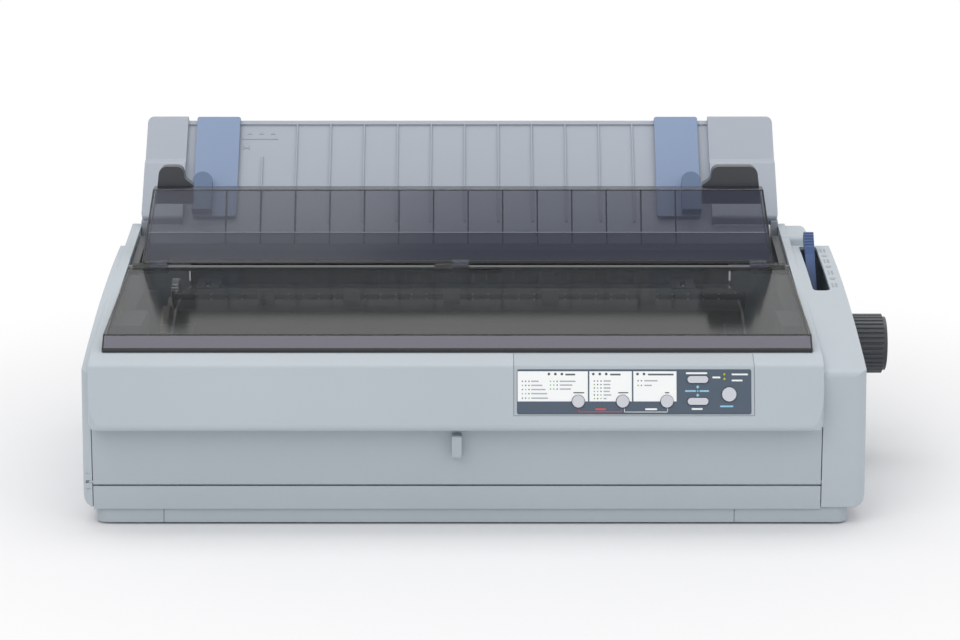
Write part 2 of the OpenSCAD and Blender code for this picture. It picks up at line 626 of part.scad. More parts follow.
module paper_chute() color(dark) {
    chute_r = platen_r + 2.5;
    p = [platen_y, platen_z];
    arc_out = [for (a = [-98 : 9 : 10]) polar(p, chute_r + 2.5, a)];
    arc_in = [for (a = [10 : -9 : -98]) polar(p, chute_r, a)];
    lip = polar(p, chute_r + 1, 10);
    tail = [platen_y + 62, platen_z + 20];
    difference() {
        union() {
            along_x(roller_left + 12, roller_right - 12) polygon(concat(arc_out, [[tail[0],
                tail[1] - 2.5], tail], arc_in));
            for (i = [0 : 13]) along_x(path_mid - 186 + i * 28.6, path_mid - 184.4 + i * 28.6)
                polygon([lip, lip + [3, 3.5], tail + [0, 2.5], tail - [0, 1]]);
        }
        along_x(-400, 400) translate([p[0], p[1]]) circle(r = chute_r - 0.5);
    }
    // end brackets to the side frames
    for (x = [plate_left, roller_right - 12.5]) block([x, platen_y + 40, platen_z + 8],
        [x + plate_right - roller_right + 12.5, platen_y + 50, platen_z + 12]);
}
module tear_off_deck() color(dark) {
    along_x(plate_left, plate_right) polygon([[platen_y - 23, platen_z + 22], [platen_y - 21,
        platen_z + 22],
        [platen_y - 19, platen_z + 30.5], [platen_y + 42, platen_z + 35], [platen_y + 42, platen_z + 37],
        [platen_y - 20, platen_z + 32.4]]);
    for (i = [0 : 14]) along_x(path_mid - 197 + i * 28, path_mid - 195.5 + i * 28) polygon([
        [platen_y - 19, platen_z + 31], [platen_y + 42, platen_z + 35.5], [platen_y + 42, platen_z + 28],
        [platen_y - 12, platen_z + 24]]);
    for (x = [plate_left, plate_right - 1.5]) block([x, platen_y - 10, platen_z + 20],
        [x + 1.5, platen_y + 38, platen_z + 33]);
}
module main_board() color(board_green) {
    block([board_lo[0], board_lo[1], board_z], [board_hi[0], board_hi[1], board_z + 1.6]);
    for (c = [[30, 40, 26], [90, 50, 30], [150, 30, 18], [60, 110, 20], [130, 105, 34], [25, 150, 14]])
        block([board_lo[0] + c[0], board_lo[1] + c[1], board_z + 1], [board_lo[0] + c[0] + c[2],
            board_lo[1] + c[1] + c[2], board_z + 5]);
    for (i = [0 : 3]) rod_z(board_z + 1, board_z + 22, [board_hi[0] - 24, board_lo[1] + 60 + i * 20], 6);
}
module power_supply() color(steel) difference() {
    block([path_mid - 188, y_rear - 140, pan_floor], [path_mid - 40, y_rear - 46, 48]);
    for (i = [0 : 9]) block([path_mid - 178 + i * 13, y_rear - 125, 46.5],
        [path_mid - 172 + i * 13, y_rear - 60, 49]);
}
module feed_motor() color(dark) difference() {
    rod_x(plate_left, plate_left + 22, pinion_at, motor_r);
    rod_x(plate_left - 1, plate_left + 15, pinion_at, 2.5 + fit);
}
module carriage_motor() color(dark) difference() {
    rod_z(motor_foot, belt_z - 5, carriage_motor_at, motor_r);
    rod_z(motor_foot + 10, belt_z, carriage_motor_at, 2.5 + fit);
}
module carriage_belt() color(black) along_z(belt_z, belt_z + belt_h) difference() {
    belt_loop(pulley_r + clear + belt_t);
    belt_loop(pulley_r + clear);
}
module belt_loop(r) union() {
    translate([pulley_left, belt_y - r]) square([pulley_right - pulley_left, 2 * r]);
    for (x = [pulley_left, pulley_right]) translate([x, belt_y]) circle(r = r);
}
module pulley(x) difference() {
    union() {
        along_z(belt_z - 0.8, belt_z + belt_h + 0.8) translate([x, belt_y]) polygon([for (i = [0 : 19])
            each [polar([0, 0], pulley_r, i * 18), polar([0, 0], pulley_r, i * 18 + 8),
            polar([0, 0], pulley_r - 0.7, i * 18 + 10), polar([0, 0], pulley_r - 0.7, i * 18 + 16)]]);
        for (z = [belt_z - 1.8, belt_z + belt_h + 0.5]) rod_z(z, z + 1.3, [x, belt_y], pulley_r + 2.6);
    }
    children();
}
module motor_pulley() color(steel) {
    pulley(pulley_left);
    rod_z(motor_foot + 11, belt_z, carriage_motor_at, 2.5);
}
module idler_pulley() color(steel) pulley(pulley_right) rod_z(0, 200, [pulley_right, belt_y], 2.5 + fit);

module ribbon_cartridge() color(black) {
    difference() {
        union() {
            block([plate_left - 4, cartridge_front, cartridge_z], [plate_right + 4, cartridge_rear - clear,
                cartridge_z + 27]);
            for (x = [arm_left, arm_right - 18]) along_x(x, x + 18) polygon(outline([
                [cartridge_rear - 2, cartridge_z + 2], [ribbon_y - 8, cartridge_z + 3, 4],
                    [ribbon_y + 0.6, cartridge_z + 6],
                [ribbon_y + 0.6, cartridge_z + 17], [ribbon_y - 8, cartridge_z + 20, 4],
                [cartridge_rear - 2, cartridge_z + 24]]));
        }
        rod_z(cartridge_z + 15, cartridge_z + 40, knob_at, 2.5 + fit);
        // shallow panels in the lid
        for (i = [0 : 4]) block([path_mid - 190 + i * 72, cartridge_front + 8, cartridge_z + 25.8],
            [path_mid - 130 + i * 72, cartridge_rear - 8, cartridge_z + 28]);
    }
    // ribbon between the arms
    block([arm_left + 17, ribbon_y - 0.1, platen_z - 6.5], [arm_right - 17, ribbon_y + 0.1,
        platen_z + 6.5]);
}
knob_at = [plate_right - 12, cartridge_front + 20];
module ribbon_knob() color(guide_blue) {
    along_z(cartridge_z + 27 + clear, cartridge_z + 35) translate(knob_at) polygon([for (i = [0 : 23])
        each [polar([0, 0], 9, i * 15), polar([0, 0], 9, i * 15 + 7), polar([0, 0], 8.2, i * 15 + 9),
        polar([0, 0], 8.2, i * 15 + 13)]]);
    rod_z(cartridge_z + 16, cartridge_z + 28, knob_at, 2.5);
}
module carriage() color(dark) {
    x0 = carriage_mid - carriage_w / 2;
    difference() {
        union() {
            rod_x(x0, x0 + carriage_w, rod_at, rod_r + 4.5);
            along_x(x0, x0 + carriage_w) polygon(outline([[rod_at[0] - 6, rod_at[1]], [rod_at[0] - 10,
                deck_z - 2],
                [cartridge_rear + 12, deck_z - 2], [cartridge_rear + 11, rod_at[1] + 3.8],
                [cartridge_rear + 4, rod_at[1] + 3.8], [cartridge_rear + 4, deck_z + 3.5],
                [platen_y - 34, deck_z + 3.5, 2], [platen_y - 34, deck_z - 2, 2], [rod_at[0] + 8,
                    rod_at[1]]]));
            // clamp on the belt
            for (s = [-1, 1]) block([carriage_mid - 9, belt_y - pulley_r - clear - belt_t / 2 + s * 1.9 - 1,
                belt_z + 0.5], [carriage_mid + 9, belt_y - pulley_r - clear - belt_t / 2 + s * 1.9 + 1,
                    deck_z]);
        }
        rod_x(x0 - 1, x0 + carriage_w + 1, rod_at, rod_r + fit);
    }
}
module print_head() color("#8b8e93") {
    m = carriage_mid;
    z = deck_z + 3.5;
    block([m - 17, platen_y - 66, z], [m + 17, platen_y - 38, z + 14]);
    for (i = [0 : 7]) block([m - 17, platen_y - 66 + i * 3.8, z + 13.5], [m + 17,
        platen_y - 64.6 + i * 3.8, z + 27]);
    along_x(m - 8, m + 8) polygon([[platen_y - 38.5, z + 2], [platen_y - 26, z + 4.5], [ribbon_y - 0.6,
        platen_z - 4],
        [ribbon_y - 0.6, platen_z + 4], [platen_y - 26, z + 17], [platen_y - 38.5, z + 14]]);
}

// Platen, gears and tractors
module platen() color(black) {
    rod_x(roller_left, roller_right, [platen_y, platen_z], platen_r);
    rod_x(gear_x - 4, x_right + knob_gap + knob_l - 6, [platen_y, platen_z], shaft_r);
}
module platen_knob() color(dark) {
    x = x_right + knob_gap;
    flutes = 36;
    difference() {
        union() {
            along_x(x + 2, x + knob_l - 3) translate([platen_y, platen_z])
                polygon([for (i = [0 : flutes - 1])
                let (a = i * 360 / flutes, s = 360 / flutes) each [polar([0, 0], knob_r, a),
                polar([0, 0], knob_r, a + s * 0.5), polar([0, 0], knob_r - 1.1, a + s * 0.64),
                polar([0, 0], knob_r - 1.1, a + s * 0.86)]]);
            rod_x(x + knob_l - 3.2, x + knob_l, [platen_y, platen_z], knob_r - 2.4);
            rod_x(x, x + 2.2, [platen_y, platen_z], knob_r - 2);
        }
        rod_x(x + knob_l - 2.2, x + knob_l + 1, [platen_y, platen_z], knob_r - 8);
        rod_x(x - 1, x + knob_l - 5.9, [platen_y, platen_z], shaft_r + 0.03);
    }
}
module gear(teeth, phase, at, bore) along_x(gear_x, gear_x + gear_face) difference() {
    translate(at) polygon(gear_points(teeth, gear_module, phase));
    translate(at) circle(r = bore);
}
module platen_gear() color("#e4e2da") {
    difference() {
        union() {
            difference() {
                gear(platen_teeth, 0, [platen_y, platen_z], shaft_r + 0.03);
                for (a = [30 : 60 : 330]) rod_x(gear_x - 1, gear_x + gear_face + 1,
                    polar([platen_y, platen_z], 18, a), 5.5);
            }
            rod_x(gear_x - 2, gear_x + gear_face + 2, [platen_y, platen_z], 10);
        }
        rod_x(gear_x - 9, gear_x + 19, [platen_y, platen_z], shaft_r + 0.03);
    }
}
module feed_pinion() color("#e4e2da") {
    gear(pinion_teeth, pinion_phase, pinion_at, 1);
    rod_x(gear_x - 2, plate_left + 14, pinion_at, 2.5);
}
module idler_gear() color("#e4e2da") gear(idler_teeth, idler_phase, idler_at, stub_r + fit);
module tractor_drive() color(steel) {
    gear(tractor_teeth, drive_phase, drive_at, 1);
    rod_x(gear_x - 2, plate_left + 1.5, drive_at, square_side / 2);
    block([plate_left + 1, drive_at[0] - square_side / 2, drive_at[1] - square_side / 2],
        [plate_right - 1, drive_at[0] + square_side / 2, drive_at[1] + square_side / 2]);
    rod_x(plate_right - 1.5, plate_right + sheet + 2, drive_at, square_side / 2);
}
module tractor(x) color(black) difference() {
    along_x(x, x + tractor_w) polygon(outline([[drive_at[0] - 16, drive_at[1] - 8, 3], [drive_at[0] - 16,
        tractor_top, 3],
        [rail_at[0] + 9, tractor_top, 3], [rail_at[0] + 9, drive_at[1] - 8, 3]]));
    block([x + tractor_w / 2 - 4.5, drive_at[0] - 14.3, 0], [x + tractor_w / 2 + 4.5, drive_at[0] + 14.3,
        200]);
    rod_x(x - 1, x + tractor_w + 1, drive_at, 5);
    rod_x(x - 1, x + tractor_w + 1, rail_at, 4 + fit);
    // notch for the hinge of the lid
    block([x - 1, drive_at[0] + 2, tractor_top - 4.4], [x + 4.2, drive_at[0] + 12, tractor_top + 1]);
    // bevel that the edge of the lid turns down over
    along_y(drive_at[0] - 17, rail_at[0] + 10) polygon([[x - 1, tractor_top - 2.3],
        [x + 2.3, tractor_top + 1], [x - 1, tractor_top + 1]]);
    rod_y(drive_at[0] - 8, drive_at[0] + 20, [x + 1.6, tractor_top - 1.8], 1 + fit);
}
module tractor_lid(x) color(dark) difference() {
    union() {
        block([x + 0.2, drive_at[0] - 14, tractor_top + clear], [x + tractor_w, rail_at[0] + 7,
            tractor_top + clear + 2]);
        block([x + 0.2, drive_at[0] + 2.3, tractor_top - 3.2], [x + 2.7, drive_at[0] + 11.7,
            tractor_top + clear + 1]);
        rod_y(drive_at[0] - 2, drive_at[0] + 16, [x + 1.6, tractor_top - 1.8], 1);
    }
    block([x + tractor_w / 2 - 2.5, drive_at[0] - 9, tractor_top - 1], [x + tractor_w / 2 + 2.5,
        drive_at[0] + 14,
        tractor_top + 9]);
}
module sprocket(x) color("#e4e2da") {
    m = x + tractor_w / 2;
    difference() {
        union() {
            rod_x(m - 4.2, m + 4.2, drive_at, sprocket_r);
            for (a = [0 : 45 : 315]) translate([m, drive_at[0], drive_at[1]]) rotate([a, 0, 0])
                translate([0, 0, sprocket_r - 1]) cylinder(r1 = 1.6, r2 = 1, h = 4);
        }
        block([m - 9, drive_at[0] - square_side / 2 - 0.1, drive_at[1] - square_side / 2 - 0.1],
            [m + 9, drive_at[0] + square_side / 2 + 0.1, drive_at[1] + square_side / 2 + 0.1]);
    }
}
module tractor_left() tractor(tractor_left_x);
module tractor_right() mirror_x(tractor_right_x) tractor(tractor_right_x);
module tractor_lid_left() tractor_lid(tractor_left_x);
module tractor_lid_right() mirror_x(tractor_right_x) tractor_lid(tractor_right_x);
module sprocket_left() sprocket(tractor_left_x);
module sprocket_right() sprocket(tractor_right_x);
// Mirror a tractor about its own middle, which puts its lid hinge on the other side
module mirror_x(x) translate([2 * x + tractor_w, 0, 0]) mirror([1, 0, 0]) children();

module paper_bail() color(dark) {
    for (x = [plate_left - sheet - 4, plate_right + sheet + 2]) difference() {
        along_x(x, x + 2) union() {
            translate(bail_pivot) circle(r = 6.5);
            translate(bail_bar) circle(r = 5);
            polygon([bail_pivot + [-4, -4], bail_bar + [-4, -3], bail_bar + [3, 4], bail_pivot + [4, 4]]);
        }
        rod_x(x - 1, x + 3, bail_pivot, stub_r + fit);
    }
    rod_x(plate_left - sheet - 3, plate_right + sheet + 3, bail_bar, 2.5);
}
function roller_spots() = [for (d = [-158.4, -87.9, -5.9, 75.1, 154.6]) path_mid + d];
module bail_rollers() color(shell_grey) for (x = roller_spots()) difference() {
    rod_x(x - 7, x + 7, bail_bar, bail_roller_r);
    rod_x(x - 9, x + 9, bail_bar, 2.5 + fit);
}

// Release lever
module release_lever() color(lever_blue) {
    u = lever_tip / norm(lever_tip);
    v = [u[1], -u[0]];
    tip = lever_at + lever_tip;
    difference() {
        union() {
            rod_x(lever_x - lever_w / 2 - 0.5, lever_x + lever_w / 2 + 0.5, lever_at, 7);
            along_x(lever_x - lever_w / 2, lever_x + lever_w / 2) polygon(outline([
                lever_at - v * 5 - u, tip - u * 22 - v * 4, tip - u * 16 - v * 5, concat(tip - v * 5, [3]),
                concat(tip + v * 4.5, [3]), tip - u * 16 + v * 4.5, tip - u * 22 + v * 3.5,
                lever_at + v * 5 - u]));
        }
        rod_x(lever_x - 9, lever_x + 9, lever_at, stub_r + fit);
        // grip grooves across the tip
        for (i = [0 : 4]) along_x(lever_x - 9, lever_x + 9) translate(tip - u * (3 + i * 2.8) - v * 5.6)
            circle(r = 1.2, $fn = 8);
    }
}

// Smoked covers
function cover_line(y) = hinge_z + 1.5 + (y - hinge_y)
    * (hinge_z + 1.5 - frame_front[1] - cover_front_h - 2) / (cover_l - 12);
module printer_cover() color(smoke, 0.7) {
    a = [hinge_y - 3, cover_line(hinge_y - 3)];
    b = [hinge_y - cover_l + 12, cover_line(hinge_y - cover_l + 12)];
    c = [hinge_y - cover_l + 0.6, frame_front[1] + 2.4];
    w = smoke_wall;
    x0 = well_left + 0.7;
    x1 = well_right - 0.7;
    top = outline([[a[0], a[1]], [b[0], b[1], 4], [c[0], c[1]]]);
    difference() {
        union() {
            along_x(x0, x1) polygon(outline([[a[0], a[1] - w], a, [b[0], b[1], 4], c, [c[0] + 0.4,
                c[1] - 1.6],
                [c[0] + w + 0.4, c[1] - 1.6], [b[0] + 0.8, b[1] - w - 0.4, 2]]));
            // side skirts, which reach into the well
            for (x = [x0, x1 - w]) along_x(x, x + w) polygon([[a[0], a[1] - w - 1.5], [a[0], a[1] - 0.5],
                [b[0], b[1] - 0.5], [c[0] + 0.5, c[1]], [c[0] + 2.5, c[1] - 1.6], [c[0] + 3.4, c[1] - 1.6],
                [c[0] + 3.4, frame_front[1] - 3]]);
            for (x = cover_knuckles()) {
                rod_x(x, x + 14, [hinge_y, hinge_z], hinge_r + 1.9);
                block([x, hinge_y - 5.5, hinge_z - 1.9], [x + 14, hinge_y - 0.5, hinge_z + 1.4]);
            }
            // finger grip at the rear of the cover
            block([path_mid + 6, a[0] - 9, a[1] - 2], [path_mid + 34, a[0] - 5.5, a[1] + 1.4]);
        }
        for (x = cover_knuckles()) rod_x(x - 1, x + 15, [hinge_y, hinge_z], hinge_r + fit);
        // room for the knuckles of the shield
        for (x = shield_knuckles()) rod_x(x - 0.6, x + 14.6, [hinge_y, hinge_z], hinge_r + 3.6);
    }
}
function cover_knuckles() = [well_left + 4, path_mid - 20, well_right - 18];
function shield_knuckles() = [well_left + 18.5, path_mid - 5.5, well_right - 32.5];
module shield_front(t) polygon([[well_left + 10.5 + t, -20], [well_left + 10.5 + t, -1],
    [well_left + 18 + t, shield_l], [well_left + 18 + t, shield_l + 20],
    [well_right - 19.5 - t, shield_l + 20], [well_right - 19.5 - t, shield_l],
    [well_right - 12.5 - t, -1], [well_right - 12.5 - t, -20]]);
// The shield's top flange is level: its rear edge, and the height of its underside at depth y
shield_edge = [shield_return * cos(shield_lean), shield_l + shield_return * sin(shield_lean)];
function shield_under(y) = shield_l + y * tan(shield_lean) - smoke_wall / cos(shield_lean);
module paper_shield() color(smoke, 0.75) {
    w = smoke_wall;
    on_shield() {
        difference() {
            intersection() {
                along_y(0, shield_return + 2) shield_front(0);
                along_x(x_left, x_right) polygon(outline([[0, 0], [0, shield_l, 3], shield_edge,
                    shield_edge + w * [sin(shield_lean), -cos(shield_lean)], [shield_edge[0], 10], [6, 0]]));
            }
            intersection() {
                along_y(w, shield_return + 4) shield_front(w);
                along_x(x_left, x_right) polygon([[w, -1], [w, shield_under(w)],
                    [shield_return + 3, shield_under(shield_return + 3)], [shield_return + 3, -1]]);
            }
        }
        for (i = [0 : shield_ribs - 1]) let (x = path_mid + (i - (shield_ribs - 1) / 2) * shield_rib_pitch)
            along_x(x - 7.5, x - 6) polygon([[w - 0.3, shield_l - 34], [w - 0.3, shield_under(w) + 0.4],
                [shield_edge[0] - 1, shield_under(shield_edge[0] - 1) + 0.4],
                [shield_edge[0] - 1, shield_l - 12], [w + 2, shield_l - 34]]);
    }
    difference() {
        for (x = shield_knuckles()) {
            rod_x(x, x + 14, [hinge_y, hinge_z], hinge_r + 1.9);
            along_x(x, x + 14) polygon([[hinge_y + 0.5, hinge_z - 1], [hinge_y + 0.5, hinge_z + 4],
                [hinge_y + 3.6, hinge_z + 6], [hinge_y + 8, hinge_z + 6], [hinge_y + 6, hinge_z + 3],
                [hinge_y + 4, hinge_z - 1]]);
        }
        for (x = shield_knuckles()) rod_x(x - 1, x + 15, [hinge_y, hinge_z], hinge_r + fit);
    }
}
// An ear stands on a foot that flares out on its inner side
module ear(outer, inner, s) difference() {
    high = 15 + ear_h;
    along_y(0, 11) polygon(outline([[outer, 0], [outer + s * 4, high, 7], [inner - s * 5, high, 6],
        [inner - s * 4, high - 10, 5], [inner + s * 3, high - 15.5], [inner + s * 3, 0]]));
    along_y(2.2, 12) polygon(outline([[outer + s * 2.4, -1], [outer + s * 6.4, high - 2.2, 5],
        [inner - s * 7.2, high - 2.2, 4], [inner - s * 6.2, high - 11], [inner, high - 17.5], [inner, -1]]));
}
module shield_ears() color(dark) translate([0, ear_at[0], ear_at[1]]) {
    ear(well_left + 18.5, well_left + 47, 1);
    ear(well_right - 20, well_right - 66, -1);
}
ear_h = 16.5;
ear_at = [hinge_y + 3.55 + shield_return + shield_l * sin(shield_lean),
    hinge_z + 3.5 + shield_l * cos(shield_lean) - 15];
module cover_arms() color(smoke) for (x = [well_left + gap, well_right - gap - 6.5]) along_x(x, x + 6.5)
    polygon(outline([[hinge_y + 6, hinge_z - 8, 3], [hinge_y + 6, hinge_z - 1, 2], [hinge_y + 40,
        hinge_z + 4],
    [guide_y - 14, hinge_z + 10.5, 3], [guide_y - 14, hinge_z, 3]]));

// Paper guide
guide_lip = 8;
guide_foot = [guide_y - guide_lip * sin(guide_lean), guide_z - guide_lip * cos(guide_lean)];
module wing(a, b) along_x(a, b) polygon(outline([[0, 0], [-9, 2, 3], [-guide_front - 4, 58, 4],
    [-guide_front, 64],
    [-guide_front, guide_l, 1.5], [guide_back, guide_l, 1.5], [guide_back, 6, 2]]));
module wing_hollow(a, b) along_x(a, b) polygon([[1.5, -1], [-6.6, 4], [-guide_front + 2.2, 66],
    [-guide_front + 2.2, guide_l - 2.5], [guide_back + 1, guide_l - 2.5], [guide_back + 1, -1]]);
module paper_guide() color(guide_grey) {
    a = well_left + guide_side;
    b = well_right - guide_side;
    on_guide() difference() {
        union() {
            along_y(0, 2.4) polygon(frame_points([a + 7, -guide_lip], [b - 7, guide_l - 3], 1.5));
            // rail along the top edge, which the edge guides hook over
            along_x(a + 30, b - 50) polygon([[-1.2, guide_l - 7], [-1.2, guide_l - 3], [3.6, guide_l - 3],
                [3.6, guide_l - 7]]);
            intersection() {
                union() {
                    wing(a, a + 35);
                    wing(b - 56, b);
                }
                along_y(-30, 30) polygon(frame_points([a, -1], [b, guide_l], 7));
            }
            for (i = [0 : guide_ribs - 1]) block([path_mid - 142 + i * guide_rib_pitch, -1.7, 3],
                [path_mid - 140.8 + i * guide_rib_pitch, 0.5, guide_l - 6]);
            block([path_mid - 171.5, -1.7, 3], [path_mid - 170.3, 0.5, guide_l - 40]);
        }
        wing_hollow(a + 2.5, a + 32.5);
        wing_hollow(b - 53.5, b - 2.5);
    }
    // apron that hangs from the guide's lower edge
    along_x(a + 7, b - 7) polygon([guide_foot + [0.2, 0.1], [guide_foot[0] + 0.2, hinge_z + 0.8],
        [guide_foot[0] + 2, hinge_z + 0.8], guide_foot + [2, 0.7]]);
    for (x = [a, b - 6]) along_x(x, x + 6) union() {
        translate(guide_pivot) circle(r = 5);
        polygon([guide_pivot + [-5, 0], [guide_y - 5, guide_z + 4], [guide_y + 5, guide_z + 6],
            guide_pivot + [5, 0]]);
    }
    for (x = [a - 3, b - 1]) rod_x(x, x + 4, guide_pivot, guide_pin_r);
}
module edge_guide(a, outer) color(guide_blue) on_guide() {
    along_y(-4.6, -2) polygon(frame_points([a, 6], [a + edge_w, guide_l - 1.2], 2));
    // hook over the rail
    block([a, -3, guide_l - 2.4], [a + edge_w, 6.2, guide_l - 1.2]);
    block([a, 4.2, guide_l - 12], [a + edge_w, 6.2, guide_l - 1.2]);
    // wall that the sheet's edge runs along
    along_y(-13, -4) polygon(outline([[outer, 8], [outer + 16.5, 8], [outer + 16.5, outer == a ? 40 : 62,
        8],
        [outer, outer == a ? 62 : 40, 8]]));
}
module edge_guide_left() edge_guide(well_left + 43.3, well_left + 43.3);
module edge_guide_right() edge_guide(well_right - 103, well_right - 103 + edge_w - 16.5);

// Fold-down front cover
module front_cover() color(panel_grey) {
    a = mouth_left + panel_gap;
    b = mouth_right - panel_gap;
    p = cover_pivot;
    along_x(a, b) polygon(outline([[y_front, strip_h + 0.9, 1.2], [y_front, chin_low - 1],
        [y_front + panel_t, chin_low - 1],
        [y_front + panel_t, strip_h + 0.9, 1.2]]));
    for (x = [a - 3, b - 1]) rod_x(x, x + 4, p, cover_pin_r);
    // finger tab
    along_x(path_mid - 4, path_mid + 3.5) polygon(outline([[y_front + 1, strip_h + 24], [y_front - 8,
        strip_h + 24, 2],
        [y_front - 10, strip_h + 42, 2], [y_front + 1, strip_h + 42]]));
    // stiffening ribs
    rib_pitch = (b - a - 82) / 5;
    for (i = [0 : 5]) block([a + 40 + i * rib_pitch, y_front + panel_t - 0.5, strip_h + 8],
        [a + 42 + i * rib_pitch, y_front + panel_t + 4, chin_low - 3]);
    block([a + 6, y_front + panel_t - 0.5, chin_low - 8], [b - 6, y_front + panel_t + 3, chin_low - 6.5]);
}

// Sockets and switch in the rear wall
module data_sockets() color(dark) {
    difference() {
        block([parallel_x + gap, y_rear - 16, parallel_z + gap], [parallel_x + 58 - gap, y_rear,
            parallel_z + 19 - gap]);
        block([parallel_x + 8, y_rear - 9, parallel_z + 5], [parallel_x + 50, y_rear + 1, parallel_z + 14]);
    }
    block([parallel_x + 10, y_rear - 12, parallel_z + 8], [parallel_x + 48, y_rear - 4.6, parallel_z + 11]);
    difference() {
        block([usb_x + gap, y_rear - 16, usb_z + gap], [usb_x + 16 - gap, y_rear, usb_z + 14 - gap]);
        block([usb_x + 3.5, y_rear - 11, usb_z + 2.8], [usb_x + 12.5, y_rear + 1, usb_z + 11.2]);
    }
}
module power_inlet() color(black) {
    x = inlet_x + gap;
    z = inlet_z + gap;
    difference() {
        block([x, y_rear - 22, z], [x + 28, y_rear, z + 21]);
        along_y(y_rear - 17, y_rear + 1) polygon([[x + 2, z + 2.5], [x + 26, z + 2.5], [x + 26, z + 14],
            [x + 22, z + 18.5],
            [x + 6, z + 18.5], [x + 2, z + 14]]);
    }
    for (p = [[7, 8], [14, 12], [21, 8]]) block([x + p[0] - 1, y_rear - 18, z + p[1] - 2],
        [x + p[0] + 1, y_rear - 4, z + p[1] + 2]);
    // housing of the rocker switch, behind the rear wall
    difference() {
        block([switch_x - 1.5, y_rear - 14, inlet_z - 1], [switch_x + 15.5, y_rear - wall - 0.1,
            inlet_z + 22]);
        block([switch_x + 0.9, y_rear - 12, inlet_z + 0.4], [switch_x + 13.1, y_rear, inlet_z + 20.6]);
        rod_x(switch_x - 0.6, switch_x + 14.6, switch_pivot, switch_pin_r + fit);
    }
}
module power_switch() color(black) {
    p = switch_pivot;
    along_x(switch_x + 1.5, switch_x + 12.5) polygon(outline([[p[0] + 4.6, p[1] - 8.8], [p[0] + 6.8,
        p[1] - 7.6, 1],
        [p[0] + 4.4, p[1]], [p[0] + 5, p[1] + 8.4, 1], [p[0] + 0.5, p[1] + 8.6, 1], [p[0] - 3, p[1] + 2.5],
        [p[0] - 3, p[1] - 2.5], [p[0] + 0.5, p[1] - 8.8, 1]]));
    rod_x(switch_x + 0.3, switch_x + 13.7, p, switch_pin_r);
}
switch_pin_r = 1.2;
switch_pivot = [y_rear - 5, inlet_z + 10.5];

base_tray();
rubber_feet();
upper_case();
control_bezel();
panel_overlay();
control_board();
side_frame_left();
side_frame_right();
carriage_rod();
carriage_rail();
front_chute();
paper_chute();
tear_off_deck();
main_board();
power_supply();
feed_motor();
carriage_motor();
carriage_belt();
ribbon_cartridge();
ribbon_knob();
platen_bushes();
cover_arms();
hinge_rod();
tractor_rail();
data_sockets();
power_inlet();
power_switch();
case_screws();
printer_cover();
paper_shield();
shield_ears();
paper_guide();
edge_guide_left();
edge_guide_right();
front_cover();
platen();
platen_knob();
platen_gear();
feed_pinion();
idler_gear();
tractor_drive();
tractor_left();
tractor_right();
tractor_lid_left();
tractor_lid_right();
sprocket_left();
sprocket_right();
release_lever();
carriage();
print_head();
motor_pulley();
idler_pulley();
paper_bail();
bail_rollers();
button(0);  // button_1
button(1);  // button_2
button(2);  // button_3
button(3);  // button_up
button(4);  // button_down
button(5);  // button_pause
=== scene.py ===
import json
import math
import bmesh
import bpy
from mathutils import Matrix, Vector
from mathutils.bvhtree import BVHTree


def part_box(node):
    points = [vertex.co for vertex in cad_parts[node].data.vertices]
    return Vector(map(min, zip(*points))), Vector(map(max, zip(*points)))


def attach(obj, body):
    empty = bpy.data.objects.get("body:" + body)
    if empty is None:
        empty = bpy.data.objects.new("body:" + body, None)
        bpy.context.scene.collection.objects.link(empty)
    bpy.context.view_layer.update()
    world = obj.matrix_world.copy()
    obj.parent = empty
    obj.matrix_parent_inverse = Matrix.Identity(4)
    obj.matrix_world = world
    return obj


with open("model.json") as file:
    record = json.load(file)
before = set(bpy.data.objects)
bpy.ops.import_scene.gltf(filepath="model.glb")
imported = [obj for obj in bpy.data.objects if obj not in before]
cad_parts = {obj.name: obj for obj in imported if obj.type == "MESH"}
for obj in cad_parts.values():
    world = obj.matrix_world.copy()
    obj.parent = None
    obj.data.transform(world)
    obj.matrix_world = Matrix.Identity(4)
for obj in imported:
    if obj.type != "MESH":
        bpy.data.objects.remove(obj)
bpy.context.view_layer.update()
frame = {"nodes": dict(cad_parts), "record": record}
nodes = frame["nodes"]

MM = 0.001


# Colours, written as they look on a screen, 0 to 255
def tone(red, green, blue):
    """The linear colour of a screen colour."""
    def linear(value):
        value /= 255
        return value / 12.92 if value <= 0.04045 else ((value + 0.055) / 1.055) ** 2.4
    return (linear(red), linear(green), linear(blue), 1.0)


# Camera, at the photograph's place
CAMERA_PLACE = (-0.0147, -2.401, 0.6726)
CAMERA_TILT = math.radians(77)
CAMERA_LENS, CAMERA_SENSOR = 112.88, 36.0


def make_camera():
    data = bpy.data.cameras.new("photo_camera")
    data.sensor_width = CAMERA_SENSOR
    data.lens = CAMERA_LENS
    data.clip_end = 60
    camera = bpy.data.objects.new("photo_camera", data)
    camera.location = CAMERA_PLACE
    camera.rotation_euler = (CAMERA_TILT, 0, 0)
    bpy.context.scene.collection.objects.link(camera)
    bpy.context.scene.camera = camera


def seen_by_eye(tree):
    """1 for rays from the camera, mirrors and clear plastic, 0 for the light on the object."""
    path = tree.nodes.new("ShaderNodeLightPath")
    total = path.outputs["Is Camera Ray"]
    for kind in ("Is Glossy Ray", "Is Transmission Ray"):
        add = tree.nodes.new("ShaderNodeMath")
        add.operation = "MAXIMUM"
        tree.links.new(total, add.inputs[0])
        tree.links.new(path.outputs[kind], add.inputs[1])
        total = add.outputs[0]
    return total


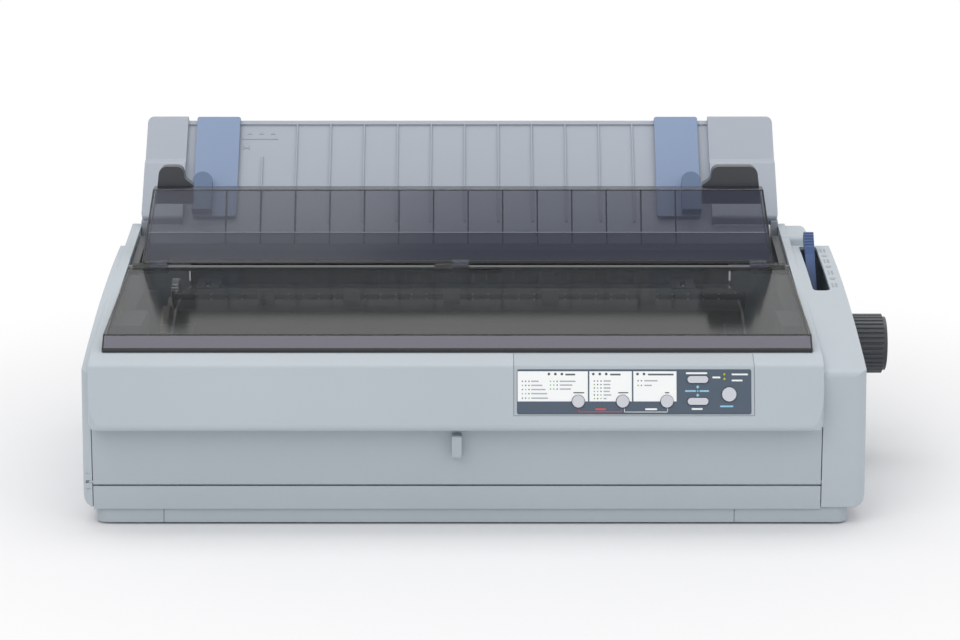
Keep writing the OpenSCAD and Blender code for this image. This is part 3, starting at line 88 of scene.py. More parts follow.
def make_world(light):
    world = bpy.data.worlds.new("studio")
    bpy.context.scene.world = world
    world.use_nodes = True
    tree = world.node_tree
    background = tree.nodes["Background"]
    background.inputs["Color"].default_value = (1, 1, 1, 1)
    level = tree.nodes.new("ShaderNodeMapRange")
    level.inputs["To Min"].default_value = light
    level.inputs["To Max"].default_value = 1.0
    tree.links.new(seen_by_eye(tree), level.inputs["Value"])
    tree.links.new(level.outputs["Result"], background.inputs["Strength"])


def make_lamp(name, place, target, size, watts):
    data = bpy.data.lights.new(name, "AREA")
    data.shape = "RECTANGLE"
    data.size, data.size_y = size
    data.energy = watts
    lamp = bpy.data.objects.new(name, data)
    lamp.location = place
    aim = Vector(target) - Vector(place)
    lamp.rotation_euler = aim.to_track_quat("-Z", "Y").to_euler()
    bpy.context.scene.collection.objects.link(lamp)


# The floor is plain this close to the object, and white beyond the second distance
FLOOR_FADE = (0.30, 0.75)


def make_floor():
    mesh = bpy.data.meshes.new("floor")
    bm = bmesh.new()
    bmesh.ops.create_grid(bm, x_segments=1, y_segments=1, size=12)
    bm.to_mesh(mesh)
    bm.free()
    floor = bpy.data.objects.new("floor", mesh)
    floor.location = (0, 0, -0.0002)
    bpy.context.scene.collection.objects.link(floor)
    material = bpy.data.materials.new("pale_floor")
    material.use_nodes = True
    tree = material.node_tree
    shader = tree.nodes["Principled BSDF"]
    shader.inputs["Base Color"].default_value = (0.86, 0.86, 0.87, 1)
    shader.inputs["Roughness"].default_value = 0.9
    shader.inputs["Specular IOR Level"].default_value = 0.1
    glow = tree.nodes.new("ShaderNodeEmission")
    glow.inputs["Color"].default_value = (1, 1, 1, 1)
    mix = tree.nodes.new("ShaderNodeMixShader")
    # the floor fades to the white of the background away from the object
    where = tree.nodes.new("ShaderNodeNewGeometry")
    distance = tree.nodes.new("ShaderNodeVectorMath")
    distance.operation = "LENGTH"
    fade = tree.nodes.new("ShaderNodeMapRange")
    fade.interpolation_type = "SMOOTHSTEP"
    fade.inputs["From Min"].default_value, fade.inputs["From Max"].default_value = FLOOR_FADE
    both = tree.nodes.new("ShaderNodeMath")
    both.operation = "MULTIPLY"
    tree.links.new(where.outputs["Position"], distance.inputs[0])
    tree.links.new(distance.outputs["Value"], fade.inputs["Value"])
    tree.links.new(fade.outputs["Result"], both.inputs[0])
    tree.links.new(seen_by_eye(tree), both.inputs[1])
    tree.links.new(both.outputs[0], mix.inputs[0])
    tree.links.new(shader.outputs[0], mix.inputs[1])
    tree.links.new(glow.outputs[0], mix.inputs[2])
    tree.links.new(mix.outputs[0], tree.nodes["Material Output"].inputs["Surface"])
    mesh.materials.append(material)


# Effects that several finishes share
def new_group(name, inputs, outputs):
    """An empty shader group with its sockets. inputs and outputs are (name, kind, default)."""
    group = bpy.data.node_groups.new(name, "ShaderNodeTree")
    for side, sockets in (("INPUT", inputs), ("OUTPUT", outputs)):
        for label, kind, default in sockets:
            socket = group.interface.new_socket(name=label, in_out=side, socket_type=kind)
            if default is not None:
                socket.default_value = default
    return group, group.nodes.new("NodeGroupInput"), group.nodes.new("NodeGroupOutput")


def math_node(tree, operation, first, second):
    node = tree.nodes.new("ShaderNodeMath")
    node.operation = operation
    for socket, value in zip(node.inputs, (first, second)):
        if isinstance(value, (int, float)):
            socket.default_value = value
        else:
            tree.links.new(value, socket)
    return node.outputs[0]


def noise_node(tree, vector, scale, detail, roughness=0.5):
    node = tree.nodes.new("ShaderNodeTexNoise")
    node.inputs["Scale"].default_value = scale
    node.inputs["Detail"].default_value = detail
    node.inputs["Roughness"].default_value = roughness
    tree.links.new(vector, node.inputs["Vector"])
    return node


def moulded_grain_group():
    """The fine spark grain of a mould, and the slow change of colour over a large moulding."""
    group, inside, outside = new_group("moulded_grain",
        [("Vector", "NodeSocketVector", None), ("Grain Scale", "NodeSocketFloat", 1500.0),
         ("Patch Scale", "NodeSocketFloat", 7.0)],
        [("Height", "NodeSocketFloat", None), ("Patch", "NodeSocketFloat", None)])
    cells = group.nodes.new("ShaderNodeTexVoronoi")
    cells.feature = "SMOOTH_F1"
    group.links.new(inside.outputs["Vector"], cells.inputs["Vector"])
    group.links.new(inside.outputs["Grain Scale"], cells.inputs["Scale"])
    fine = noise_node(group, inside.outputs["Vector"], 1.0, 2.0)
    group.links.new(inside.outputs["Grain Scale"], fine.inputs["Scale"])
    height = math_node(group, "ADD", cells.outputs["Distance"], fine.outputs["Fac"])
    group.links.new(height, outside.inputs["Height"])
    patch = noise_node(group, inside.outputs["Vector"], 1.0, 3.0, 0.45)
    group.links.new(inside.outputs["Patch Scale"], patch.inputs["Scale"])
    group.links.new(patch.outputs["Fac"], outside.inputs["Patch"])
    return group


def edge_wear_and_highlight_group():
    """A mask along the edges, for scuffs and for painted highlights, and a normal that rounds that edge off.
    """
    group, inside, outside = new_group("edge_wear_and_highlight",
        [("Vector", "NodeSocketVector", None), ("Radius", "NodeSocketFloat", 0.0006),
         ("Break Up", "NodeSocketFloat", 60.0)],
        [("Mask", "NodeSocketFloat", None), ("Round Normal", "NodeSocketVector", None)])
    bevel = group.nodes.new("ShaderNodeBevel")
    bevel.samples = 6
    group.links.new(inside.outputs["Radius"], bevel.inputs["Radius"])
    flat = group.nodes.new("ShaderNodeNewGeometry")
    dot = group.nodes.new("ShaderNodeVectorMath")
    dot.operation = "DOT_PRODUCT"
    group.links.new(bevel.outputs["Normal"], dot.inputs[0])
    group.links.new(flat.outputs["Normal"], dot.inputs[1])
    turned = math_node(group, "SUBTRACT", 1.0, dot.outputs["Value"])
    sharp = math_node(group, "MULTIPLY", turned, 5.0)
    rub = noise_node(group, inside.outputs["Vector"], 1.0, 4.0, 0.6)
    group.links.new(inside.outputs["Break Up"], rub.inputs["Scale"])
    edge_highlight = math_node(group, "MULTIPLY", sharp, rub.outputs["Fac"])
    clamp = group.nodes.new("ShaderNodeClamp")
    group.links.new(edge_highlight, clamp.inputs["Value"])
    group.links.new(clamp.outputs["Result"], outside.inputs["Mask"])
    group.links.new(bevel.outputs["Normal"], outside.inputs["Round Normal"])
    return group


def settled_dust_group():
    """A thin film of dust on whatever faces up."""
    group, inside, outside = new_group("settled_dust",
        [("Vector", "NodeSocketVector", None), ("Amount", "NodeSocketFloat", 0.1)],
        [("Mask", "NodeSocketFloat", None)])
    facing = group.nodes.new("ShaderNodeNewGeometry")
    parts = group.nodes.new("ShaderNodeSeparateXYZ")
    group.links.new(facing.outputs["Normal"], parts.inputs[0])
    up = group.nodes.new("ShaderNodeMapRange")
    up.inputs["From Min"].default_value = 0.55
    up.inputs["From Max"].default_value = 1.0
    group.links.new(parts.outputs["Z"], up.inputs["Value"])
    drift = noise_node(group, inside.outputs["Vector"], 35.0, 5.0, 0.65)
    film = math_node(group, "MULTIPLY", up.outputs["Result"], drift.outputs["Fac"])
    amount = math_node(group, "MULTIPLY", film, inside.outputs["Amount"])
    group.links.new(amount, outside.inputs["Mask"])
    return group


GRAIN = moulded_grain_group()
EDGES = edge_wear_and_highlight_group()
DUST = settled_dust_group()
DUST_GREY = tone(176, 174, 168)


def use_group(tree, group, vector, **values):
    node = tree.nodes.new("ShaderNodeGroup")
    node.node_tree = group
    tree.links.new(vector, node.inputs["Vector"])
    for label, value in values.items():
        node.inputs[label.replace("_", " ")].default_value = value
    return node


def mix_colour(tree, factor, first, second):
    node = tree.nodes.new("ShaderNodeMix")
    node.data_type = "RGBA"
    for socket, value in ((node.inputs[0], factor), (node.inputs[6], first), (node.inputs[7], second)):
        if isinstance(value, (int, float, tuple)):
            socket.default_value = value
        else:
            tree.links.new(value, socket)
    return node.outputs[2]


GLOSS_SPREAD = 0.06
BUMP_STRENGTH = 0.35


def finish(name, colour, rough, grain=1500.0, depth=0.00002, patch=0.06, wear_and_highlight=0.12, edge_highlight=None,
           radius=0.0006, dust=0.08, metallic=0.0, coat=0.0, alpha=1.0):
    """A moulded or metal finish: grain, slow colour change, scuffed edges that some finishes paint pale as a
    highlight, and settled dust.
    """
    material = bpy.data.materials.new(name)
    material.use_nodes = True
    tree = material.node_tree
    shader = tree.nodes["Principled BSDF"]
    place = tree.nodes.new("ShaderNodeTexCoord").outputs["Object"]
    grains = use_group(tree, GRAIN, place, Grain_Scale=grain)
    edges = use_group(tree, EDGES, place, Radius=radius)
    film = use_group(tree, DUST, place, Amount=dust)
    # slow change of shade over the moulding
    shade = tree.nodes.new("ShaderNodeMapRange")
    shade.inputs["To Min"].default_value = 1 - patch
    shade.inputs["To Max"].default_value = 1 + patch
    tree.links.new(grains.outputs["Patch"], shade.inputs["Value"])
    tinted = tree.nodes.new("ShaderNodeVectorMath")
    tinted.operation = "SCALE"
    tinted.inputs[0].default_value = colour[:3]
    tree.links.new(shade.outputs["Result"], tinted.inputs["Scale"])
    # the edge mask lightens the colour: scuffing on most finishes, a painted highlight where a pale edge
    # colour is given
    rubbed_and_lit = math_node(tree, "MULTIPLY", edges.outputs["Mask"], wear_and_highlight)
    lighter = edge_highlight or tuple(min(1.0, c * 1.35 + 0.02) for c in colour[:3]) + (1.0,)
    edged = mix_colour(tree, rubbed_and_lit, tinted.outputs[0], lighter)
    dusted = mix_colour(tree, film.outputs["Mask"], edged, DUST_GREY)
    tree.links.new(dusted, shader.inputs["Base Color"])
    gloss = tree.nodes.new("ShaderNodeMapRange")
    gloss.inputs["To Min"].default_value = rough - GLOSS_SPREAD
    gloss.inputs["To Max"].default_value = rough + GLOSS_SPREAD
    tree.links.new(grains.outputs["Patch"], gloss.inputs["Value"])
    tree.links.new(gloss.outputs["Result"], shader.inputs["Roughness"])
    bump = tree.nodes.new("ShaderNodeBump")
    bump.inputs["Strength"].default_value = BUMP_STRENGTH
    bump.inputs["Distance"].default_value = depth
    tree.links.new(grains.outputs["Height"], bump.inputs["Height"])
    tree.links.new(edges.outputs["Round Normal"], bump.inputs["Normal"])
    tree.links.new(bump.outputs["Normal"], shader.inputs["Normal"])
    shader.inputs["Metallic"].default_value = metallic
    shader.inputs["Coat Weight"].default_value = coat
    shader.inputs["Alpha"].default_value = alpha
    return material


def tint_beyond(material, direction, start, end, colour, alpha=None):
    """Another shade past a plane. start and end lie along direction, in millimetres."""
    tree = material.node_tree
    shader = tree.nodes["Principled BSDF"]
    reach = tree.nodes.new("ShaderNodeVectorMath")
    reach.operation = "DOT_PRODUCT"
    reach.inputs[1].default_value = direction
    tree.links.new(tree.nodes.new("ShaderNodeTexCoord").outputs["Object"], reach.inputs[0])
    mask = tree.nodes.new("ShaderNodeMapRange")
    mask.inputs["From Min"].default_value = start * MM
    mask.inputs["From Max"].default_value = end * MM
    tree.links.new(reach.outputs["Value"], mask.inputs["Value"])
    plain = shader.inputs["Base Color"].links[0].from_socket
    tree.links.new(mix_colour(tree, mask.outputs["Result"], plain, colour), shader.inputs["Base Color"])
    if alpha is not None:
        clear = tree.nodes.new("ShaderNodeMapRange")
        clear.inputs["To Min"].default_value = shader.inputs["Alpha"].default_value
        clear.inputs["To Max"].default_value = alpha
        tree.links.new(mask.outputs["Result"], clear.inputs["Value"])
        tree.links.new(clear.outputs["Result"], shader.inputs["Alpha"])


FINISHES = {
    "casing": finish("casing_abs", tone(180, 189, 196), 0.48),
    "panel": finish("panel_abs", tone(174, 183, 190), 0.46),
    "base": finish("base_abs", tone(175, 184, 191), 0.5),
    "rubber": finish("black_rubber", tone(38, 38, 40), 0.7, grain=900.0, patch=0.15),
    "overlay": finish("printed_film", tone(75, 88, 104), 0.32, grain=3000.0, depth=0.000005, wear_and_highlight=0.0,
                      dust=0.02),
    "board": finish("solder_mask", tone(38, 96, 62), 0.3, grain=500.0, patch=0.2),
    "steel": finish("zinc_steel", tone(186, 188, 190), 0.32, grain=700.0, patch=0.15, metallic=1.0),
    # the edges of the smoked plastic are painted pale grey: a painted highlight along them
    "smoke": finish("smoked_clear", tone(42, 45, 44), 0.10, grain=400.0, depth=0.000004, patch=0.03,
                    wear_and_highlight=0.35, edge_highlight=tone(130, 132, 132), radius=0.0010, dust=0.04, alpha=0.5),
    "dark": finish("dark_abs", tone(62, 65, 70), 0.42),
    "black": finish("black_abs", tone(30, 31, 34), 0.4),
    "guide": finish("guide_abs", tone(166, 173, 184), 0.46),
    "blue": finish("edge_guide_blue", tone(134, 153, 184), 0.4),
    "lever": finish("lever_blue", tone(58, 84, 132), 0.38),
    "button": finish("button_grey", tone(203, 205, 213), 0.42, grain=2500.0),
    "gear": finish("acetal", tone(226, 224, 214), 0.36, patch=0.04),
    "roller": finish("pale_rubber", tone(150, 152, 156), 0.6, grain=900.0),
    "metal": finish("cast_aluminium", tone(128, 130, 134), 0.45, grain=600.0, patch=0.2, metallic=1.0),
}


# Nodes whose finish differs from the rest of their slot
OWN_FINISH = {
    # the edges of the shield are painted pale blue grey: a painted highlight along them
    "paper_shield": finish("smoked_blue", tone(52, 56, 76), 0.12, grain=400.0, depth=0.000004, patch=0.03,
                           wear_and_highlight=0.35, edge_highlight=tone(140, 144, 156), radius=0.0010, dust=0.04, alpha=0.5),
    # the edges of the rod are painted grey: the painted highlight along the glossy black rod
    "hinge_rod": finish("blackened_rod", tone(66, 68, 73), 0.24, grain=600.0, depth=0.000004, wear_and_highlight=0.3,
                        edge_highlight=tone(120, 122, 128), coat=0.5),
    "tear_off_deck": finish("deck_plastic", tone(52, 55, 54), 0.5),
}
# the sloping front facet of the cover, seen end on, is painted a lighter lilac grey and made less clear: a
# painted reflection of the bright studio in front of it
FACET_BACK = -158.6
tint_beyond(FINISHES["smoke"], (0, -1, 0), -FACET_BACK, -FACET_BACK + 0.8, tone(116, 115, 126), 0.86)
# the fins that stand up from the edge guides are painted a darker blue past a plane in front of the guide's
# face: painted shade on them
GUIDE_LEAN = math.radians(42.8)
GUIDE_FACE = 26.6
tint_beyond(FINISHES["blue"], (0, -math.cos(GUIDE_LEAN), math.sin(GUIDE_LEAN)), GUIDE_FACE + 4.5,
            GUIDE_FACE + 5.0, tone(92, 112, 142))


def dress_nodes():
    for name, node in nodes.items():
        slot = next(s["material_slot"] for s in frame["record"]["subparts"] if s["node"] == name)
        node.data.materials.clear()
        node.data.materials.append(OWN_FINISH.get(name) or FINISHES[slot])


# Printed pieces and trim are built in millimetres and scaled to metres at the end
def add_piece(name, bm, body, material, smooth=False):
    """The finished mesh as a piece that rides on a body."""
    bmesh.ops.scale(bm, vec=(MM, MM, MM), verts=bm.verts)
    bmesh.ops.recalc_face_normals(bm, faces=bm.faces)
    mesh = bpy.data.meshes.new(name)
    bm.to_mesh(mesh)
    bm.free()
    if smooth:
        mesh.shade_smooth()
    mesh.materials.append(material)
    piece = bpy.data.objects.new(name, mesh)
    bpy.context.scene.collection.objects.link(piece)
    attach(piece, body)
    return piece


def arc(centre, radius, start, end, steps):
    """Points of an arc, angles in degrees."""
    angles = [math.radians(start + (end - start) * i / steps) for i in range(steps + 1)]
    return [(centre[0] + radius * math.cos(a), centre[1] + radius * math.sin(a)) for a in angles]


def rounded_bar(x0, s0, x1, s1, radius, steps=4):
    """Outline of a rectangle with round corners."""
    return (arc((x1 - radius, s1 - radius), radius, 0, 90, steps)
            + arc((x0 + radius, s1 - radius), radius, 90, 180, steps)
            + arc((x0 + radius, s0 + radius), radius, 180, 270, steps)
            + arc((x1 - radius, s0 + radius), radius, 270, 360, steps))


def slab(bm, outline, place, thick):
    """A thin plate on a surface. place(x, s, d) gives the point; d runs into the surface."""
    front = [bm.verts.new(place(x, s, -thick)) for x, s in outline]
    back = [bm.verts.new(place(x, s, 0)) for x, s in outline]
    bm.faces.new(front)
    bm.faces.new(back[::-1])
    for i in range(len(outline)):
        j = (i + 1) % len(outline)
        bm.faces.new((front[i], back[i], back[j], front[j]))


def lens(bm, centre, radius, place, height, rings=3, steps=20):
    """A low dome, such as the end of a lamp."""
    base = place(centre[0], centre[1], 0)
    rows = []
    for ring in range(rings):
        angle = math.pi / 2 * ring / rings
        rows.append([bm.verts.new(place(x, s, -height * math.sin(angle)))
                     for x, s in arc(centre, radius * math.cos(angle), 0, 360 - 360 / steps, steps - 1)])
    top = bm.verts.new(place(centre[0], centre[1], -height))
    foot = bm.verts.new(base)
    for low, high in zip(rows, rows[1:]):
        for i in range(steps):
            j = (i + 1) % steps
            bm.faces.new((low[i], low[j], high[j], high[i]))
    for i in range(steps):
        j = (i + 1) % steps
        bm.faces.new((rows[-1][i], rows[-1][j], top))
        bm.faces.new((rows[0][j], rows[0][i], foot))


# The chin's slope, found from the film on it: x runs to the right, s up the slope, d into the case
CHIN_LEAN = math.radians(17.616)
FILM_FOOT, FILM_FRONT, FILM_BACK = 11.9, 0.05, 0.8
film_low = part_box("panel_overlay")[0]
CHIN_FOOT_Y = film_low[1] / MM - FILM_FOOT * math.sin(CHIN_LEAN) - FILM_FRONT * math.cos(CHIN_LEAN)
CHIN_FOOT_Z = film_low[2] / MM - FILM_FOOT * math.cos(CHIN_LEAN) + FILM_BACK * math.sin(CHIN_LEAN)


def on_film(x, s, d):
    """A point on the film of the control panel."""
    d += FILM_FRONT
    return (x, CHIN_FOOT_Y + s * math.sin(CHIN_LEAN) + d * math.cos(CHIN_LEAN),
            CHIN_FOOT_Z + s * math.cos(CHIN_LEAN) - d * math.sin(CHIN_LEAN))


# thickness of one layer of print
INK = 0.03
BUTTON_HOLE = 5.1
# the lower edge of the fields runs through the middles of the round buttons
WINDOW_LOW, WINDOW_TOP = 21.5, 44.4
# left edge, right edge and button of each field
WINDOWS = [(13.7, 67.0, 59.7), (68.1, 100.3, 93.3), (101.4, 134.1, 126.8)]


def window_outline(left, right, button):
    """A white field with a bite out of its lower edge for the button."""
    bite = arc((button, WINDOW_LOW), BUTTON_HOLE, 180, 0, 16)
    return [(left, WINDOW_LOW)] + bite + [(right, WINDOW_LOW), (right, WINDOW_TOP), (left, WINDOW_TOP)]


def dot(bm, x, s, radius):
    slab(bm, arc((x, s), radius, 0, 330, 11), on_film, 2 * INK)


def bar(bm, x0, x1, s, height):
    slab(bm, rounded_bar(x0, s - height / 2, x1, s + height / 2, height * 0.45), on_film, 2 * INK)


def ink(name, colour, rough=0.45):
    return finish(name, colour, rough, grain=3500.0, depth=0.000003, patch=0.04, wear_and_highlight=0.0, dust=0.01)


PRINTS = {
    "white": ink("ink_white", tone(246, 248, 248)),
    "grey": ink("ink_grey", tone(92, 96, 100)),
    "pale": ink("ink_pale_grey", tone(176, 180, 184)),
    "green": ink("ink_green", tone(136, 190, 96)),
    "red": ink("ink_red", tone(206, 88, 92)),
    "blue": ink("ink_light_blue", tone(150, 206, 232)),
    "lamp": ink("lamp_dark", tone(76, 84, 82), 0.2),
    "amber": ink("lamp_amber", tone(176, 182, 66), 0.2),
}


def control_panel_print():
    white = bmesh.new()
    for window in WINDOWS:
        slab(white, window_outline(*window), on_film, INK)
    add_piece("panel_fields", white, "chassis", PRINTS["white"])
    # rows of small dots with a bar beside each, in place of a legend
    grey, green, pale = bmesh.new(), bmesh.new(), bmesh.new()
    # each column: first dot, rows, right ends of the bars, left end of the bars
    legend = [(17.4, (36.8, 33.7, 30.5, 27.4, 24.0), (29.8, 32.6, 35.0, 36.2, 36.8), 24.0),
              (38.7, (36.8, 33.9, 30.9), (57.6, 55.4, 54.2), 45.6),
              (71.9, (37.0, 34.3, 31.7, 29.1, 26.4, 23.7), (84.4, 84.0, 84.2, 83.6, 84.8, 81.2), 78.8),
              (105.0, (37.2, 33.7), (119.8, 115.4), 109.7)]
    for column, (first, rows, ends, start) in enumerate(legend):
        count = 2 if column == 3 else 3
        for row, (s, end) in enumerate(zip(rows, ends)):
            for lamp in range(count):
                lit = (row >> lamp) & 1 or column == 1 and lamp < 2
                dot(green if lit else grey, first + 2.5 * lamp, s, 0.55)
            bar(pale, start, end, s, 1.0)
    for x0, x1 in ((49.8, 57.4), (83.8, 91.8), (112.4, 132.0)):
        bar(grey, x0, x1, 41.9, 1.3)
    for x0, x1 in ((55.9, 64.2), (89.8, 97.6), (125.2, 128.6)):
        bar(grey, x0, x1, 28.1, 0.9)
    add_piece("panel_marks_grey", grey, "chassis", PRINTS["grey"])
    add_piece("panel_marks_green", green, "chassis", PRINTS["green"])
    add_piece("panel_marks_pale", pale, "chassis", PRINTS["pale"])
    # brackets that join the lower buttons in pairs
    red, plain, blue = bmesh.new(), bmesh.new(), bmesh.new()
    for bm, x0, x1, s, word in ((red, 59.9, 92.4, 13.7, (72.4, 80.6)),
                                (plain, 94.6, 127.2, 13.5, (110.2, 119.4))):
        bar(bm, x0, x1, s, 0.5)
        for x in (x0, x1):
            slab(bm, rounded_bar(x - 0.25, s, x + 0.25, 16.2, 0.2), on_film, 2 * INK)
        bar(bm, *word, 15.6, 1.4)
    for x0, x1, s, height in ((141.2, 157.4, 42.9, 1.5), (145.4, 153.8, 15.8, 1.4),
                              (161.2, 167.4, 39.7, 1.4), (175.8, 188.2, 42.0, 1.3),
                              (175.8, 184.2, 37.4, 1.3)):
        bar(plain, x0, x1, s, height)
    for x0, x1, s, height in ((140.4, 148.8, 29.4, 1.3), (151.4, 158.8, 29.4, 1.3),
                              (167.0, 177.0, 17.8, 1.3)):
        bar(blue, x0, x1, s, height)
    for s, size in ((32.5, 1.35), (26.2, 1.35), (29.4, 0.8)):
        slab(blue, arc((150.1, s), size, 0, 270, 3), on_film, 2 * INK)
    add_piece("panel_bracket_red", red, "chassis", PRINTS["red"])
    add_piece("panel_bracket_white", plain, "chassis", PRINTS["white"])
    add_piece("panel_arrows_blue", blue, "chassis", PRINTS["blue"])
    # lamps behind the film
    dark, amber = bmesh.new(), bmesh.new()
    for x in (37.5, 42.4, 47.3, 71.1, 76.0, 80.9, 104.6, 109.5):
        lens(dark, (x, 42.3), 1.05, on_film, 0.3)
    for s in (42.0, 38.6):
        lens(amber, (170.4, s), 1.1, on_film, 0.4)
    add_piece("panel_lamps", dark, "chassis", PRINTS["lamp"], smooth=True)
    add_piece("panel_lamps_amber", amber, "chassis", PRINTS["amber"], smooth=True)


RIM = finish("smoked_edge", tone(20, 21, 24), 0.16, grain=600.0, depth=0.000004, wear_and_highlight=0.0, dust=0.0)
RELIEF = finish("moulded_relief", tone(160, 168, 176), 0.5, wear_and_highlight=0.0)
# pale grey: the painted highlight along the fold of the shield
GLINT = finish("painted_fold_highlight", tone(122, 126, 136), 0.2, grain=600.0, depth=0.000004, wear_and_highlight=0.0, dust=0.0)


# Rows of equal small pieces
def row_tree():
    """A straight row of equal blocks, in which every so many are longer."""
    tree = bpy.data.node_groups.new("row_of_blocks", "GeometryNodeTree")
    tree.is_modifier = True
    for label, kind, default in (
            ("Count", "NodeSocketInt", 10), ("Start", "NodeSocketVector", (0, 0, 0)),
            ("Step", "NodeSocketVector", (0.01, 0, 0)), ("Block", "NodeSocketVector", (0.001, 0.001, 0.001)),
            ("Turn", "NodeSocketVector", (0, 0, 0)), ("Long Every", "NodeSocketInt", 5),
            ("Long Scale", "NodeSocketVector", (1, 1, 1)), ("Material", "NodeSocketMaterial", None)):
        socket = tree.interface.new_socket(name=label, in_out="INPUT", socket_type=kind)
        if default is not None:
            socket.default_value = default
    tree.interface.new_socket(name="Geometry", in_out="OUTPUT", socket_type="NodeSocketGeometry")
    inside, outside = tree.nodes.new("NodeGroupInput"), tree.nodes.new("NodeGroupOutput")

    def joined(kind, **sources):
        node = tree.nodes.new(kind)
        for label, source in sources.items():
            tree.links.new(source, node.inputs[label.replace("_", " ")])
        return node
    line = joined("GeometryNodeMeshLine", Count=inside.outputs["Count"],
                  Start_Location=inside.outputs["Start"], Offset=inside.outputs["Step"])
    block = joined("GeometryNodeMeshCube", Size=inside.outputs["Block"])
    index = tree.nodes.new("GeometryNodeInputIndex")
    left_over = math_node(tree, "MODULO", index.outputs[0], inside.outputs["Long Every"])
    is_long = math_node(tree, "LESS_THAN", left_over, 0.5)
    scale = tree.nodes.new("GeometryNodeSwitch")
    scale.input_type = "VECTOR"
    tree.links.new(is_long, scale.inputs["Switch"])
    scale.inputs["False"].default_value = (1, 1, 1)
    tree.links.new(inside.outputs["Long Scale"], scale.inputs["True"])
    placed = joined("GeometryNodeInstanceOnPoints", Points=line.outputs["Mesh"],
                    Instance=block.outputs["Mesh"], Rotation=inside.outputs["Turn"],
                    Scale=scale.outputs["Output"])
    real = joined("GeometryNodeRealizeInstances", Geometry=placed.outputs["Instances"])
    coloured = joined("GeometryNodeSetMaterial", Geometry=real.outputs["Geometry"],
                      Material=inside.outputs["Material"])
    tree.links.new(coloured.outputs["Geometry"], outside.inputs["Geometry"])
    return tree


ROW = row_tree()


def add_rows(name, rows, body, material):
    """Rows of blocks, joined in one piece. Each row gives its sizes in millimetres."""
    joined = bmesh.new()
    for count, start, step, block, turn, every, long_scale in rows:
        holder = bpy.data.objects.new(name + "_row", bpy.data.meshes.new(name + "_row"))
        bpy.context.scene.collection.objects.link(holder)
        modifier = holder.modifiers.new("row", "NODES")
        modifier.node_group = ROW
        values = {"Count": count, "Start": start, "Step": step, "Block": block, "Turn": turn,
                  "Long Every": every, "Long Scale": long_scale, "Material": material}
        for item in ROW.interface.items_tree:
            if item.in_out == "INPUT":
                modifier[item.identifier] = values[item.name]
        graph = bpy.context.evaluated_depsgraph_get()
        joined.from_mesh(bpy.data.meshes.new_from_object(holder.evaluated_get(graph)))
        bpy.data.objects.remove(holder)
    return add_piece(name, joined, body, material)


def joint_place(name):
    """Where a joint's axis passes, in millimetres."""
    joint = next(j for j in frame["record"]["behaviour"]["joints"] if j["name"] == name)
    return [value / MM for value in joint["pos_m"]]


# Thin dark lines, where the polished edges of the smoked mouldings are seen end on
def ridge(bm, start, end, wide, thick, across, out):
    """A thin bar from start to end; across is the way of its width and out that of its thickness."""
    start, end, across, out = (Vector(v) for v in (start, end, across, out))
    ends = [[bm.verts.new(p + across * a * wide / 2 + out * b * thick / 2)
             for a, b in ((-1, -1), (1, -1), (1, 1), (-1, 1))] for p in (start, end)]
    for ring in (ends[0], ends[1][::-1]):
        bm.faces.new(ring)
    for i in range(4):
        j = (i + 1) % 4
        bm.faces.new((ends[0][j], ends[0][i], ends[1][i], ends[1][j]))


# The shield leans back from a foot above and behind the hinge
SHIELD_LEAN = math.radians(29)
SHIELD_FOOT = 3.5
SHIELD_WALL = 2.0
# left ends of the shield's knuckles, and the room that the cover leaves round each
SHIELD_KNUCKLES = (-285.5, -37.6, 207.3)
KNUCKLE_ROOM = (-0.6, 14.6)
# the skirt at the front of the cover, and the sloping facet above it
SKIRT_DROP = 5.4
FACET_REACH, FACET_RISE = 11.4, 9.6
EDGE_LIFT = 0.12


def cover_rims():
    """The dark edges round the cover and its front facet."""
    low, high = ([value / MM for value in corner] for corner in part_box("printer_cover"))
    hinge = joint_place("cover_hinge")
    foot = Vector((0, low[1], low[2] + SKIRT_DROP))
    fold = foot + Vector((0, FACET_REACH, FACET_RISE))
    rear = Vector((0, hinge[1] - 3, hinge[2] + 1.2))
    slope = (fold - foot).normalized()
    out = Vector((0, -slope.z, slope.y))
    top = (rear - fold).normalized()
    up = Vector((0, -top.z, top.y))
    left, right = Vector((low[0] + 0.6, 0, 0)), Vector((high[0] - 0.6, 0, 0))
    dark = bmesh.new()
    for at, wide in ((foot + slope * 0.9, 1.8), (fold - slope * 0.5, 1.0)):
        ridge(dark, left + at, right + at, wide, 2 * EDGE_LIFT, slope, out)
    lip = foot - Vector((0, 0, 1.3))
    ridge(dark, left + lip, right + lip, 2.4, 2 * EDGE_LIFT, (0, 0, 1), (0, -1, 0))
    for side in (left, right):
        ridge(dark, side + foot, side + fold, 1.2, 2 * EDGE_LIFT, (1, 0, 0), out)
        ridge(dark, side + fold, side + rear, 1.0, 2 * EDGE_LIFT, (1, 0, 0), up)
    # the rear edge, which leaves room for the knuckles of the shield
    starts = [left.x] + [x + KNUCKLE_ROOM[1] for x in SHIELD_KNUCKLES]
    ends = [x + KNUCKLE_ROOM[0] for x in SHIELD_KNUCKLES] + [right.x]
    for start, end in zip(starts, ends):
        ridge(dark, Vector((start, 0, 0)) + rear - top * 1.8, Vector((end, 0, 0)) + rear - top * 1.8, 3.0,
              2 * EDGE_LIFT, top, up)
    add_piece("cover_edges", dark, "cover", RIM)


